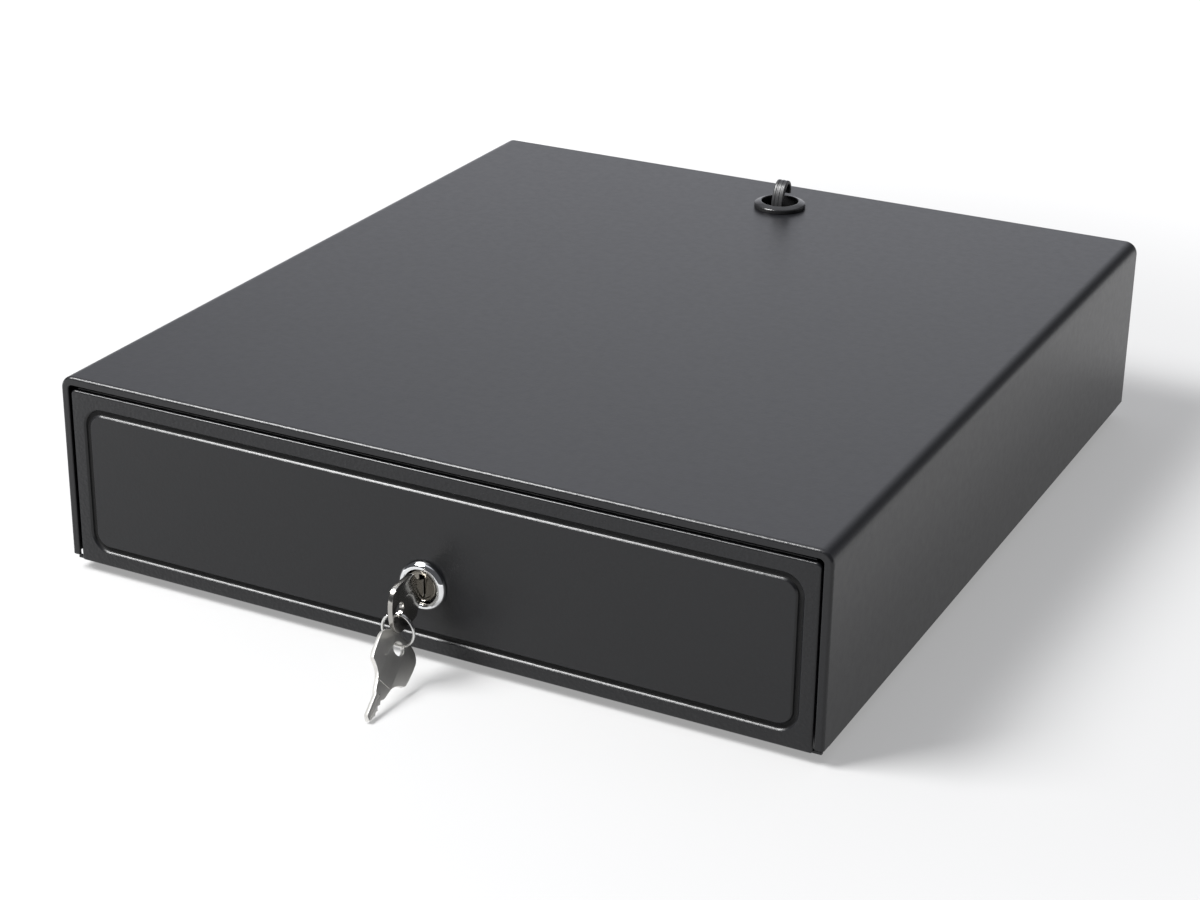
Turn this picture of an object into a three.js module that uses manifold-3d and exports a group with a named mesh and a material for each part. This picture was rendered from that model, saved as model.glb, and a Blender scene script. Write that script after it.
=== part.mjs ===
// Compact electronic cash drawer. Millimetres, +Z up, the drawer opens towards -Y.
// Design coordinates: x = 0 on the centre plane, y = 0 at the front rim of the cover, z = 0 on the surface the feet stand on.
// The finished group is moved along Y by FRAME_Y, so its origin is the bottom centre of the bounding box.
import * as THREE from "three";
import { mergeVertices } from "three/addons/utils/BufferGeometryUtils.js";
import Module from "manifold-3d";

const wasm = await Module();
wasm.setup();

// ---- driving dimensions -------------------------------------------------
const HALF_W = 165; // cover half width
const DEPTH = 364; // cover depth
const BASE_Z = 4; // underside of the base pan
const TOP_Z = 85; // top face of the cover
const SHEET = 1; // sheet steel thickness
const BEND_R = 5.5; // outer radius of the cover's long bends
const COVER_BOTTOM = 6.5; // lower edge of the cover's sides
const RIM = 3.5; // width of the cover's folded front rim
const FRONT_HALF_W = 160.6; // drawer front
const FRONT_Y = 0.4; // face of the drawer front
const FRONT_TOP = 79.5;
const FRONT_BOTTOM = 4.3;
const GROOVE = { x: 153.3, z0: 11.8, z1: 71.8, r: 7, w: 1.0, d: 0.9 }; // centre line of the embossed groove
const LOCK_X = 1.5; // lock axis, a little right of the centre plane
const LOCK_Z = 32.8; // lock axis above the floor
const RAIL_BOTTOM = 24;
const ROLLER_R = 8;
const ROLLER_Z = 33.4;
const FRONT_ROLLER_Y = 22;
const REAR_ROLLER_Y = 306;
const BOX_HALF_W = 149; // drawer box outside
const BOX_BACK = 316; // rear face of the drawer box
const BOX_BOTTOM = 10;
const BOX_TOP = 66;
const TRAY_HALF_W = 147.3;
const TRAY_WALL = 2;
const TRAY_BOTTOM = 11.3;
const TRAY_FLOOR = 12.8;
const DIVIDER = 2.4;
const NOTE_CELLS = 4;
const COIN_CELLS = 5;
const CLIP_Y = 298;
const CLIP_Z = 36;
const GROMMET_X = 1.2;
const GROMMET_Y = 332;
const PIVOT = { x: -20, y: 340 }; // latch lever pivot
const PLUNGER = { y: 351, z: 15 };
const KEY_HOLE_Y = -18.6; // hole of the key bow when the key is in the lock
const RING_R = 6.7; // centre radius of the split ring
const RING_WIRE = 0.55;
const KEY_HOLE_R = 2.8;
const KEY_DROOP = (5.5 * Math.PI) / 180; // the key's bow hangs a little in the loose keyway
const KEY_HOLE_Z = LOCK_Z - 1.8;
const KEY_T = 1.0; // half thickness of a key
const FRAME_Y = -156.757;

// ---- helpers ------------------------------------------------------------
const V3 = (x, y, z) => new THREE.Vector3(x, y, z);

function clean(geometry) {
  const g = geometry.index ? geometry.toNonIndexed() : geometry.clone();
  const bare = new THREE.BufferGeometry().setAttribute(
    "position",
    g.getAttribute("position"),
  );
  return mergeVertices(bare, 1e-4);
}

// A closed geometry whose faces point out.
function outward(geometry) {
  const g = clean(geometry);
  const p = g.getAttribute("position");
  const i = g.index.array;
  const a = V3(), b = V3(), c = V3();
  let volume = 0;
  for (let k = 0; k < i.length; k += 3) {
    a.fromBufferAttribute(p, i[k]);
    b.fromBufferAttribute(p, i[k + 1]);
    c.fromBufferAttribute(p, i[k + 2]);
    volume += a.dot(b.cross(c)) / 6;
  }
  const kept = [];
  for (let k = 0; k < i.length; k += 3) {
    if (i[k] === i[k + 1] || i[k + 1] === i[k + 2] || i[k] === i[k + 2]) continue;
    kept.push(...(volume < 0 ? [i[k], i[k + 2], i[k + 1]] : [i[k], i[k + 1], i[k + 2]]));
  }
  g.setIndex(kept);
  return g;
}

function toSolid(shape) {
  if (shape instanceof wasm.Manifold) return shape;
  const g = outward(shape);
  return new wasm.Manifold(
    new wasm.Mesh({
      numProp: 3,
      vertProperties: Float32Array.from(g.getAttribute("position").array),
      triVerts: Uint32Array.from(g.index.array),
    }),
  );
}

function toGeometry(solid) {
  const m = solid.getMesh();
  const v = new Float32Array(m.numVert * 3);
  for (let i = 0; i < m.numVert; i++)
    v.set(m.vertProperties.subarray(i * m.numProp, i * m.numProp + 3), i * 3);
  return new THREE.BufferGeometry()
    .setAttribute("position", new THREE.BufferAttribute(v, 3))
    .setIndex(new THREE.BufferAttribute(Uint32Array.from(m.triVerts), 1));
}

const cut = (a, ...rest) => rest.reduce((s, b) => s.subtract(toSolid(b)), toSolid(a));
const join = (a, ...rest) => rest.reduce((s, b) => s.add(toSolid(b)), toSolid(a));

function box(x0, x1, y0, y1, z0, z1) {
  return new THREE.BoxGeometry(x1 - x0, y1 - y0, z1 - z0).translate(
    (x0 + x1) / 2,
    (y0 + y1) / 2,
    (z0 + z1) / 2,
  );
}

// Rotations that send a profile's own axes to the part's axes.
const ALONG_X = new THREE.Matrix4().makeBasis(V3(0, 1, 0), V3(0, 0, 1), V3(1, 0, 0)); // (y, z) profile
const ALONG_Y = new THREE.Matrix4().makeBasis(V3(1, 0, 0), V3(0, 0, 1), V3(0, -1, 0)); // (x, z) profile

function outline(points, holes = []) {
  const shape = new THREE.Shape(points.map(([a, b]) => new THREE.Vector2(a, b)));
  for (const h of holes)
    shape.holes.push(new THREE.Path(h.map(([a, b]) => new THREE.Vector2(a, b))));
  return shape;
}

function prismX(points, x0, x1, holes) {
  return new THREE.ExtrudeGeometry(outline(points, holes), {
    depth: x1 - x0,
    bevelEnabled: false,
  })
    .applyMatrix4(ALONG_X)
    .translate(x0, 0, 0);
}

function prismY(points, y0, y1, holes) {
  return new THREE.ExtrudeGeometry(outline(points, holes), {
    depth: y1 - y0,
    bevelEnabled: false,
  })
    .applyMatrix4(ALONG_Y)
    .translate(0, y1, 0);
}

function prismZ(points, z0, z1, holes) {
  return new THREE.ExtrudeGeometry(outline(points, holes), {
    depth: z1 - z0,
    bevelEnabled: false,
  }).translate(0, 0, z0);
}

function circle(a, b, r, n = 24) {
  return Array.from({ length: n }, (_, i) => {
    const t = (2 * Math.PI * (i + 0.5)) / n;
    return [a + r * Math.cos(t), b + r * Math.sin(t)];
  });
}

const rodX = (y, z, r, x0, x1, n = 16) => prismX(circle(y, z, r, n), x0, x1);
const rodY = (x, z, r, y0, y1, n = 24) => prismY(circle(x, z, r, n), y0, y1);
const rodZ = (x, y, r, z0, z1, n = 24) => prismZ(circle(x, y, r, n), z0, z1);

// A turned body: profile points are [radius, height]; a profile off the axis closes on itself.
function turned(profile, n = 24) {
  const pts = profile.map(([r, h]) => new THREE.Vector2(Math.max(r, 0), h));
  if (pts[0].x > 1e-6) pts.push(pts[0].clone());
  return new THREE.LatheGeometry(pts, n);
}
const turnedX = (profile, y, z, n) =>
  turned(profile, n).rotateZ(-Math.PI / 2).translate(0, y, z); // height runs along +X
const turnedY = (profile, x, z, n) => turned(profile, n).translate(x, 0, z); // height runs along +Y
const turnedZ = (profile, x, y, n) =>
  turned(profile, n).rotateX(Math.PI / 2).translate(x, y, 0); // height runs along +Z

class Helix extends THREE.Curve {
  constructor(radius, length, turns, place) {
    super();
    Object.assign(this, { radius, length, turns, place });
  }
  getPoint(t) {
    const a = 2 * Math.PI * this.turns * t;
    return this.place(
      this.radius * Math.cos(a),
      this.radius * Math.sin(a),
      this.length * t,
    );
  }
}

function tube(curve, r, steps, sides = 6) {
  return new THREE.ExtrudeGeometry(outline(circle(0, 0, r, sides)), {
    extrudePath: curve,
    steps,
    bevelEnabled: false,
  });
}

// A skin through stacked outlines that all have the same number of points.
function loft(rings, place) {
  const n = rings[0].length;
  const positions = [];
  const index = [];
  rings.forEach((ring, k) => ring.forEach(([a, b, c]) => positions.push(...place(a, b, c, k))));
  for (let k = 0; k + 1 < rings.length; k++)
    for (let i = 0; i < n; i++) {
      const j = (i + 1) % n;
      const [p, q, r, s] = [k * n + i, k * n + j, (k + 1) * n + j, (k + 1) * n + i];
      index.push(p, q, r, p, r, s);
    }
  const caps = THREE.ShapeUtils.triangulateShape(
    rings[0].map(([a, b]) => new THREE.Vector2(a, b)),
    [],
  );
  const caps2 = THREE.ShapeUtils.triangulateShape(
    rings.at(-1).map(([a, b]) => new THREE.Vector2(a, b)),
    [],
  );
  const last = (rings.length - 1) * n;
  for (const [a, b, c] of caps) index.push(c, b, a);
  for (const [a, b, c] of caps2) index.push(last + a, last + b, last + c);
  return new THREE.BufferGeometry()
    .setAttribute("position", new THREE.Float32BufferAttribute(positions, 3))
    .setIndex(index);
}

// Rounded rectangle in the XZ plane, grown by e, with corner radii [bottom, top].
function roundedRect(hx, z0, z1, [rb, rt], e = 0, n = 6) {
  const pts = [];
  const corner = (cx, cz, r, from) => {
    for (let i = 0; i <= n; i++) {
      const t = from + (Math.PI / 2) * (i / n);
      pts.push([cx + (r + e) * Math.cos(t), cz + (r + e) * Math.sin(t)]);
    }
  };
  corner(hx - rt, z1 - rt, rt, 0);
  corner(-hx + rt, z1 - rt, rt, Math.PI / 2);
  corner(-hx + rb, z0 + rb, rb, Math.PI);
  corner(hx - rb, z0 + rb, rb, 1.5 * Math.PI);
  return pts;
}

// ---- materials ----------------------------------------------------------
const mat = (color, roughness, metalness) =>
  new THREE.MeshStandardMaterial({ color, roughness, metalness });
const POWDER = mat(0x37383c, 0.55, 0.1);
const POWDER_ROUGH = mat(0x33343a, 0.7, 0.1);
const ZINC = mat(0xb9bcbd, 0.38, 0.9);
const STEEL = mat(0xc4c6c8, 0.28, 1.0);
const CHROME = mat(0xe6e8ea, 0.08, 1.0);
const NICKEL = mat(0xb8b5ad, 0.22, 1.0);
const BRASS = mat(0xb59a55, 0.3, 1.0);
const BLACK_PLASTIC = mat(0x151517, 0.35, 0.0);
const TRAY_PLASTIC = mat(0x1d1e20, 0.5, 0.0);
const WHITE_PLASTIC = mat(0xd9d8d2, 0.4, 0.0);
const RUBBER = mat(0x101011, 0.9, 0.0);
const COPPER_TAPE = mat(0xc9a23c, 0.5, 0.1);
const PVC = mat(0x1a1a1c, 0.5, 0.0);

const assembly = new THREE.Group();
function add(name, shape, material) {
  const geometry = shape instanceof wasm.Manifold ? toGeometry(shape) : outward(shape);
  const flat = geometry.toNonIndexed();
  flat.computeVertexNormals();
  const mesh = new THREE.Mesh(flat, material);
  mesh.name = name;
  assembly.add(mesh);
  return mesh;
}

// ---- cover --------------------------------------------------------------
{
  // Path over the outside: up the left side, round the bend, over the top and down the right side.
  const path = [{ x: -HALF_W, z: COVER_BOTTOM, nx: 1, nz: 0 }];
  const bends = 10;
  for (let i = 0; i <= bends; i++) {
    const t = Math.PI - (Math.PI / 2) * (i / bends);
    path.push({
      x: -HALF_W + BEND_R + BEND_R * Math.cos(t),
      z: TOP_Z - BEND_R + BEND_R * Math.sin(t),
      nx: -Math.cos(t),
      nz: -Math.sin(t),
    });
  }
  for (let i = 0; i <= bends; i++) {
    const t = Math.PI / 2 - (Math.PI / 2) * (i / bends);
    path.push({
      x: HALF_W - BEND_R + BEND_R * Math.cos(t),
      z: TOP_Z - BEND_R + BEND_R * Math.sin(t),
      nx: -Math.cos(t),
      nz: -Math.sin(t),
    });
  }
  path.push({ x: HALF_W, z: COVER_BOTTOM, nx: -1, nz: 0 });
  // Section of the sheet with its folded rim: [inward offset, y].
  const rimR = 1.1;
  const section = [[0, DEPTH]];
  for (let i = 0; i <= 4; i++) {
    const t = (Math.PI / 2) * (i / 4);
    section.push([rimR - rimR * Math.cos(t), rimR - rimR * Math.sin(t)]);
  }
  section.push([RIM - 0.4, 0], [RIM, 0.4], [RIM, 1.3], [SHEET, 1.3], [SHEET, DEPTH]);
  const rings = path.map((p) => section.map(([u, y]) => [u, y, p]));
  const shell = loft(rings, (u, y, p) => [p.x + p.nx * u, y, p.z + p.nz * u]);
  const tabs = [-1, 1].map((s) =>
    s < 0
      ? box(-HALF_W + 0.5, -154, 358.8, 359.9, 14, 78)
      : box(154, HALF_W - 0.5, 358.8, 359.9, 14, 78),
  );
  const holes = [];
  for (const s of [-1, 1]) for (const z of [16.5, 68]) holes.push(rodY(s * 159, z, 1.7, 355, 362, 12));
  add(
    "top_cover",
    cut(join(shell, ...tabs), rodZ(GROMMET_X, GROMMET_Y, 10.1, 70, 95, 32), ...holes),
    POWDER,
  );
}

// ---- base pan -----------------------------------------------------------
{
  const x1 = 163.6;
  let pan = toSolid(box(-x1, x1, 2.1, 361.2, BASE_Z, BASE_Z + SHEET));
  for (const s of [-1, 1])
    pan = join(
      pan,
      s < 0
        ? box(-x1, -x1 + SHEET, 9, 358.3, BASE_Z, 46)
        : box(x1 - SHEET, x1, 9, 358.3, BASE_Z, 46),
    );
  pan = join(pan, box(-x1, x1, 360.2, 361.2, BASE_Z, 20));
  for (const s of [-1, 1]) {
    // Relief notch behind each front corner, which leaves a narrow tongue.
    pan = cut(pan, s < 0 ? box(-170, -160.2, 3.6, 9, 0, 60) : box(160.2, 170, 3.6, 9, 0, 60));
    pan = cut(pan, rodY(s * 159, 16.5, 1.7, 355, 363, 12));
  }
  add("base_pan", pan, POWDER);
}

// ---- rear panel ---------------------------------------------------------
{
  let panel = toSolid(
    prismY(roundedRect(163.4, 5.4, 83.4, [0.3, 5], 0, 5), 361.6, 362.6),
  );
  for (const s of [-1, 1]) for (const z of [16.5, 68]) panel = cut(panel, rodY(s * 159, z, 1.7, 355, 366, 12));
  panel = cut(panel, box(91.6, 109.4, 355, 366, 15.6, 31.4));
  panel = join(panel, rodY(60, 30, 4.2, 342, 362, 16)); // seat of the ejector spring
  add("rear_panel", panel, POWDER);
}
{
  // Pan-head screw along -Y with a cross recess.
  const screw = (x, z) => {
    let s = turnedY(
      [[0, 355.5], [1.4, 356.3], [1.4, 362.85], [3.2, 362.85], [3.2, 363.3], [2.4, 363.8], [1.2, 363.98], [0, 364]],
      x,
      z,
      14,
    );
    s = cut(
      s,
      box(x - 1.7, x + 1.7, 363.3, 366, z - 0.35, z + 0.35),
      box(x - 0.35, x + 0.35, 363.3, 366, z - 1.7, z + 1.7),
    );
    return s;
  };
  let i = 1;
  for (const z of [68, 16.5]) for (const s of [-1, 1]) add("rear_screw_" + i++, screw(s * 159, z), STEEL);
}

// ---- feet ---------------------------------------------------------------
for (const [name, x, y] of [
  ["foot_front_left", -140, 32],
  ["foot_front_right", 140, 32],
  ["foot_rear_left", -140, 332],
  ["foot_rear_right", 140, 332],
])
  add(name, turnedZ([[0, 0], [7, 0], [7.8, 0.8], [8.2, 3.9], [0, 3.9]], x, y, 24), RUBBER);

// ---- cable grommet and hook ---------------------------------------------
add(
  "cable_grommet",
  turnedZ(
    [
      [8.65, 81.8], [10.9, 81.8], [10.9, 83.6], [9.75, 83.7], [9.75, 85.15],
      [12.1, 85.15], [12.1, 86.8], [11.6, 87.3], [9.0, 88.1], [8.65, 87.9],
    ],
    GROMMET_X,
    GROMMET_Y,
    32,
  ),
  BLACK_PLASTIC,
);
{
  // A flat strap that rises out of the grommet and curls over towards the back.
  const path = [
    [-3.4, 80.0], [-3.3, 85.0], [-2.8, 88.6], [-1.6, 92.0], [0.3, 94.9], [2.8, 96.3], [5.0, 95.4], [6.0, 93.2], [5.7, 90.4],
  ];
  const half = 1.0;
  const left = [];
  const right = [];
  path.forEach(([a, b], i) => {
    const [pa, pb] = path[Math.max(i - 1, 0)];
    const [na, nb] = path[Math.min(i + 1, path.length - 1)];
    const l = Math.hypot(na - pa, nb - pb);
    const [ta, tb] = [(na - pa) / l, (nb - pb) / l];
    left.push([a - tb * half, b + ta * half]);
    right.push([a + tb * half, b - ta * half]);
  });
  const strap = new THREE.ExtrudeGeometry(outline([...left, ...right.reverse()]), {
    depth: 5.6,
    bevelEnabled: false,
  })
    .translate(0, 0, -2.8)
    .applyMatrix4(ALONG_Y)
    .rotateZ(Math.PI / 2)
    .translate(GROMMET_X, GROMMET_Y, 0);
  add("grommet_hook", strap, BLACK_PLASTIC);
}

// ---- case rails, rollers and axles --------------------------------------
for (const [side, s] of [["left", -1], ["right", 1]]) {
  const m = (pts) => pts.map(([x, z]) => [s * x, z]);
  add(
    "case_rail_" + side,
    prismY(
      m([
        [151, 24], [162.3, 24], [162.3, 45.7], [155, 45.7], [155, 44.5], [161.3, 44.5], [161.3, 25.2], [151, 25.2],
      ]),
      12,
      352,
    ),
    ZINC,
  );
  add(
    "drawer_rail_" + side,
    prismY(
      m([
        [149.3, 24.6], [150.3, 24.6], [150.3, 41.6], [159, 41.6], [159, 42.8], [149.3, 42.8],
      ]),
      14,
      314,
    ),
    ZINC,
  );
  // Wheels of acetal on riveted pins; profiles are [radius, distance from the centre plane].
  const wheel = [
    [2.15, 152.2], [7.2, 152.2], [8, 153], [8, 157.2], [7.2, 158], [2.15, 158],
  ];
  const place = (profile, y, n) =>
    turnedX(profile.map(([r, h]) => [r, s * h]), y, ROLLER_Z, n);
  add("front_roller_" + side, place(wheel, FRONT_ROLLER_Y, 24), WHITE_PLASTIC);
  add("rear_roller_" + side, place(wheel, REAR_ROLLER_Y, 24), WHITE_PLASTIC);
  add(
    "front_axle_" + side,
    place([[0, 150.8], [2.6, 150.9], [3.4, 151.4], [3.4, 151.9], [2, 151.9], [2, 161.1], [0, 161.1]], FRONT_ROLLER_Y, 16),
    STEEL,
  );
  add(
    "rear_axle_" + side,
    place([[0, 150.5], [2, 150.5], [2, 158.3], [3.4, 158.3], [3.4, 158.8], [2.6, 159.3], [0, 159.4]], REAR_ROLLER_Y, 16),
    STEEL,
  );
}

// ---- drawer front -------------------------------------------------------
{
  const place = (a, b, c) => [a, c, b];
  const at = (e, y) =>
    roundedRect(FRONT_HALF_W, FRONT_BOTTOM, FRONT_TOP, [0.95, 2.2], e, 6).map(([a, b]) => [a, b, y]);
  let front = toSolid(
    loft(
      [at(-0.9, FRONT_Y), at(-0.42, FRONT_Y + 0.12), at(-0.12, FRONT_Y + 0.42), at(0, FRONT_Y + 0.9), at(0, 9)],
      place,
    ),
  );
  front = cut(
    front,
    box(-FRONT_HALF_W + 1.2, FRONT_HALF_W - 1.2, 1.9, 20, 0, FRONT_TOP - 1.2),
    box(-170, 170, 1.9, 20, 0, 5.4),
  );
  // Embossed groove: a ring with sloping walls.
  const ring = (e, y) =>
    roundedRect(GROOVE.x, GROOVE.z0, GROOVE.z1, [GROOVE.r, GROOVE.r], e, 8).map(([a, b]) => [a, b, y]);
  const [g, d] = [GROOVE.w, GROOVE.d];
  const outer = loft([ring(g + 0.35, FRONT_Y - 0.5), ring(g, FRONT_Y + 0.12), ring(g - 0.35, FRONT_Y + d)], place);
  const inner = loft([ring(-g - 0.35, FRONT_Y - 1), ring(-g, FRONT_Y + 0.12), ring(-g + 0.35, FRONT_Y + d + 0.5)], place);
  front = cut(front, cut(outer, inner), rodY(LOCK_X, LOCK_Z, 8.3, -5, 12, 32));
  // The sheet stays one thickness behind the groove.
  const back = cut(
    loft([ring(g + 1.2, 1.8), ring(g + 0.9, 2.5)], place),
    loft([ring(-g - 1.2, 1.5), ring(-g - 0.9, 3)], place),
  );
  front = join(front, back);
  add("drawer_front", front, POWDER_ROUGH);
}

// ---- drawer box ---------------------------------------------------------
{
  let tray = cut(
    box(-BOX_HALF_W, BOX_HALF_W, 2.8, BOX_BACK, BOX_BOTTOM, BOX_TOP),
    box(-BOX_HALF_W + SHEET, BOX_HALF_W - SHEET, 3.8, BOX_BACK - SHEET, BOX_BOTTOM + SHEET, BOX_TOP + 5),
    rodY(LOCK_X, LOCK_Z, 8.3, 0, 12, 32),
    box(-8, 22, 21, 31, 0, 14), // slot for the lock cam
  );
  add("drawer_box", tray, ZINC);
}

// ---- coin tray ----------------------------------------------------------
{
  const [y0, y1, top] = [34, 117.5, 50];
  const inner = 2 * (TRAY_HALF_W - TRAY_WALL);
  const w = (inner - (COIN_CELLS - 1) * DIVIDER) / COIN_CELLS;
  const profile = [[y0 + 2, top + 4]];
  const arc = (cy, cz, r, a0, a1, n) => {
    for (let i = 0; i <= n; i++) {
      const t = a0 + ((a1 - a0) * i) / n;
      profile.push([cy + r * Math.cos(t), cz + r * Math.sin(t)]);
    }
  };
  arc(y0 + 2 + 24, TRAY_FLOOR + 24, 24, Math.PI, 1.5 * Math.PI, 7);
  arc(y1 - 2 - 14, TRAY_FLOOR + 14, 14, 1.5 * Math.PI, 2 * Math.PI, 6);
  profile.push([y1 - 2, top + 4]);
  let tray = toSolid(box(-TRAY_HALF_W, TRAY_HALF_W, y0, y1, TRAY_BOTTOM, top));
  for (let i = 0; i < COIN_CELLS; i++) {
    const x = -TRAY_HALF_W + TRAY_WALL + i * (w + DIVIDER);
    tray = cut(tray, prismX(profile, x, x + w));
  }
  add("coin_tray", tray, TRAY_PLASTIC);
}

// ---- note tray, clips and their springs ---------------------------------
{
  const [y0, y1, top] = [119, 312.5, 55];
  const inner = 2 * (TRAY_HALF_W - TRAY_WALL);
  const w = (inner - (NOTE_CELLS - 1) * DIVIDER) / NOTE_CELLS;
  let tray = toSolid(box(-TRAY_HALF_W, TRAY_HALF_W, y0, y1, TRAY_BOTTOM, top));
  const centres = [];
  for (let i = 0; i < NOTE_CELLS; i++) {
    const x = -TRAY_HALF_W + TRAY_WALL + i * (w + DIVIDER);
    centres.push(x + w / 2);
    tray = cut(tray, box(x, x + w, y0 + TRAY_WALL, y1 - TRAY_WALL, TRAY_FLOOR, top + 5));
    tray = cut(tray, box(x + 6, x + w - 6, y0 - 1, y0 + TRAY_WALL + 1, 30, top + 5)); // low front lip
  }
  tray = cut(tray, rodX(CLIP_Y, CLIP_Z, 1.75, -150, 150, 16));
  add("till_tray", tray, TRAY_PLASTIC);
  add("clip_axle", rodX(CLIP_Y, CLIP_Z, 1.5, -147, 147, 16), STEEL);

  const arm = [
    [0, 2.6], [-14, -2.6], [-30, -9.6], [-40, -15.4], [-45.5, -18.6], [-49, -19.2], [-51.6, -17.4], [-53.2, -18.8],
    [-50.2, -21.6], [-45, -21.2], [-38.6, -17.6], [-29, -12], [-13.4, -5.2], [0, -2.6],
  ].map(([y, z]) => [CLIP_Y + y, CLIP_Z + z]);
  centres.forEach((x, i) => {
    const n = i + 1;
    let clip = join(rodX(CLIP_Y, CLIP_Z, 4.2, x - 12, x + 12, 20), prismX(arm, x - 8, x + 8));
    clip = cut(
      clip,
      rodX(CLIP_Y, CLIP_Z, 1.64, x - 20, x + 20, 24),
      prismX(
        [[-16, 10], [-36, 10], [-36, -40], [-16, -40]].map(([y, z]) => [CLIP_Y + y, CLIP_Z + z]),
        x - 4.5,
        x + 4.5,
      ),
    );
    add("note_clip_" + n, clip, BLACK_PLASTIC);
    const coil = new Helix(2.7, 6, 4, (a, b, c) => V3(x + 13 + c, CLIP_Y + a, CLIP_Z + b));
    add("clip_spring_" + n, tube(coil, 0.45, 32, 4), STEEL);
  });
}

// ---- lock ---------------------------------------------------------------
add(
  "lock_body",
  turnedY(
    [
      [6.95, -1.0], [7.3, -2.3], [7.8, -2.75], [8.5, -2.75], [9.5, -1.7], [9.9, -0.9], [9.9, 0.15],
      [8, 0.15], [8, 22], [6.95, 22],
    ],
    LOCK_X,
    LOCK_Z,
    32,
  ),
  CHROME,
);
{
  const hex = Array.from({ length: 6 }, (_, i) => {
    const t = (Math.PI / 3) * i;
    return [LOCK_X + 12.2 * Math.cos(t), LOCK_Z + 12.2 * Math.sin(t)];
  });
  add("lock_nut", prismY(hex, 4.1, 7.6, [circle(LOCK_X, LOCK_Z, 8.35, 32)]), ZINC);
}
{
  let plug = toSolid(
    turnedY(
      [
        [0, -0.9], [4.7, -0.9], [5.0, -1.6], [5.9, -1.6], [6.5, -0.6], [6.5, 23], [3.4, 23], [3.4, 26.2], [0, 26.2],
      ],
      LOCK_X,
      LOCK_Z,
      28,
    ),
  );
  plug = cut(
    plug,
    box(LOCK_X - 1.25, LOCK_X + 1.25, -3, 19, LOCK_Z - 4.6, LOCK_Z + 4.6), // keyway
    rodY(LOCK_X, LOCK_Z, 1.5, 21, 28, 12),
    box(LOCK_X - 6, LOCK_X - 2.6, 23.2, 28, LOCK_Z - 6, LOCK_Z + 6),
    box(LOCK_X + 2.6, LOCK_X + 6, 23.2, 28, LOCK_Z - 6, LOCK_Z + 6),
  );
  add("lock_plug", plug, CHROME);
  const cam = [];
  for (let i = 0; i <= 10; i++) {
    const t = Math.PI / 2 + (Math.PI * i) / 10;
    cam.push([LOCK_X + 6.5 * Math.cos(t), LOCK_Z + 6.5 * Math.sin(t)]);
  }
  for (let i = 0; i <= 6; i++) {
    const t = -Math.PI / 2 + (Math.PI * i) / 6;
    cam.push([LOCK_X + 21.5 + 4 * Math.cos(t), LOCK_Z + 4 * Math.sin(t)]);
  }
  const square = [[-2.9, -3.6], [-2.9, 3.6], [2.9, 3.6], [2.9, -3.6]].map(([x, z]) => [LOCK_X + x, LOCK_Z + z]);
  add("lock_cam", prismY(cam, 23.9, 25.9, [square]), ZINC);
  add(
    "cam_screw",
    turnedY([[0, 22], [1.25, 22], [1.25, 26.5], [4.2, 26.5], [4.2, 27.6], [3, 28.4], [0, 28.6]], LOCK_X, LOCK_Z, 18),
    STEEL,
  );
}
{
  // Catch on the base pan that the lowered cam stands behind.
  add(
    "lock_catch",
    prismX([[10, 5.2], [23, 5.2], [23, 9.5], [21.8, 9.5], [21.8, 6.3], [10, 6.3]], -12, 12),
    ZINC,
  );
}

// ---- keys and split ring ------------------------------------------------
// Outline of a key: u runs from the bow's hole to the tip, v across it.
const BITTING = [
  [22.8, 1.8], [23.6, 1.2], [25.0, 1.8], [26.3, 0.9], [27.8, 1.7], [29.0, 1.1], [30.4, 1.6], [31.6, 0.9], [32.8, 0.7], [33.6, 0.1],
];
const BOW_SIDE = [
  [-5.4, 2.6], [-4.9, 5.2], [-3.6, 7.8], [-1.9, 9.4], [0, 9.95], [3.5, 10], [7.5, 9.8], [10.6, 9.4], [11.3, 9.0], [11.9, 8.0],
  [12.5, 6.9], [13.6, 5.5], [15.0, 4.4], [16.6, 3.7], [20.8, 2.8],
];
const KEY = [
  ...BOW_SIDE.map(([u, v]) => [u, -v]),
  [21.8, -2.3], [22.4, -1.9], [32.2, -1.9], [33.6, -0.5],
  ...BITTING.slice().reverse(),
  [22.0, 2.4],
  ...BOW_SIDE.slice().reverse(),
];
function key() {
  const bow = new THREE.ExtrudeGeometry(outline(KEY, [circle(0, 0, KEY_HOLE_R, 20)]), {
    depth: 2 * KEY_T,
    bevelEnabled: false,
  }).translate(0, 0, -KEY_T);
  // A shallow line across the neck, both faces.
  return cut(
    bow,
    box(16.6, 17.1, -5, 5, KEY_T - 0.25, KEY_T + 1),
    box(16.6, 17.1, -5, 5, -KEY_T - 1, -KEY_T + 0.25),
    box(22.4, 32.6, -0.7, 0.1, KEY_T - 0.45, KEY_T + 1),
  );
}
function placed(solid, origin, u, w) {
  const v = w.clone().cross(u).normalize();
  const m = new THREE.Matrix4().makeBasis(u, v, w).setPosition(origin);
  return toGeometry(solid).applyMatrix4(m);
}
add(
  "key",
  placed(key(), V3(LOCK_X, KEY_HOLE_Y, KEY_HOLE_Z), V3(0, Math.cos(KEY_DROOP), Math.sin(KEY_DROOP)), V3(1, 0, 0)),
  NICKEL,
);

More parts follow.
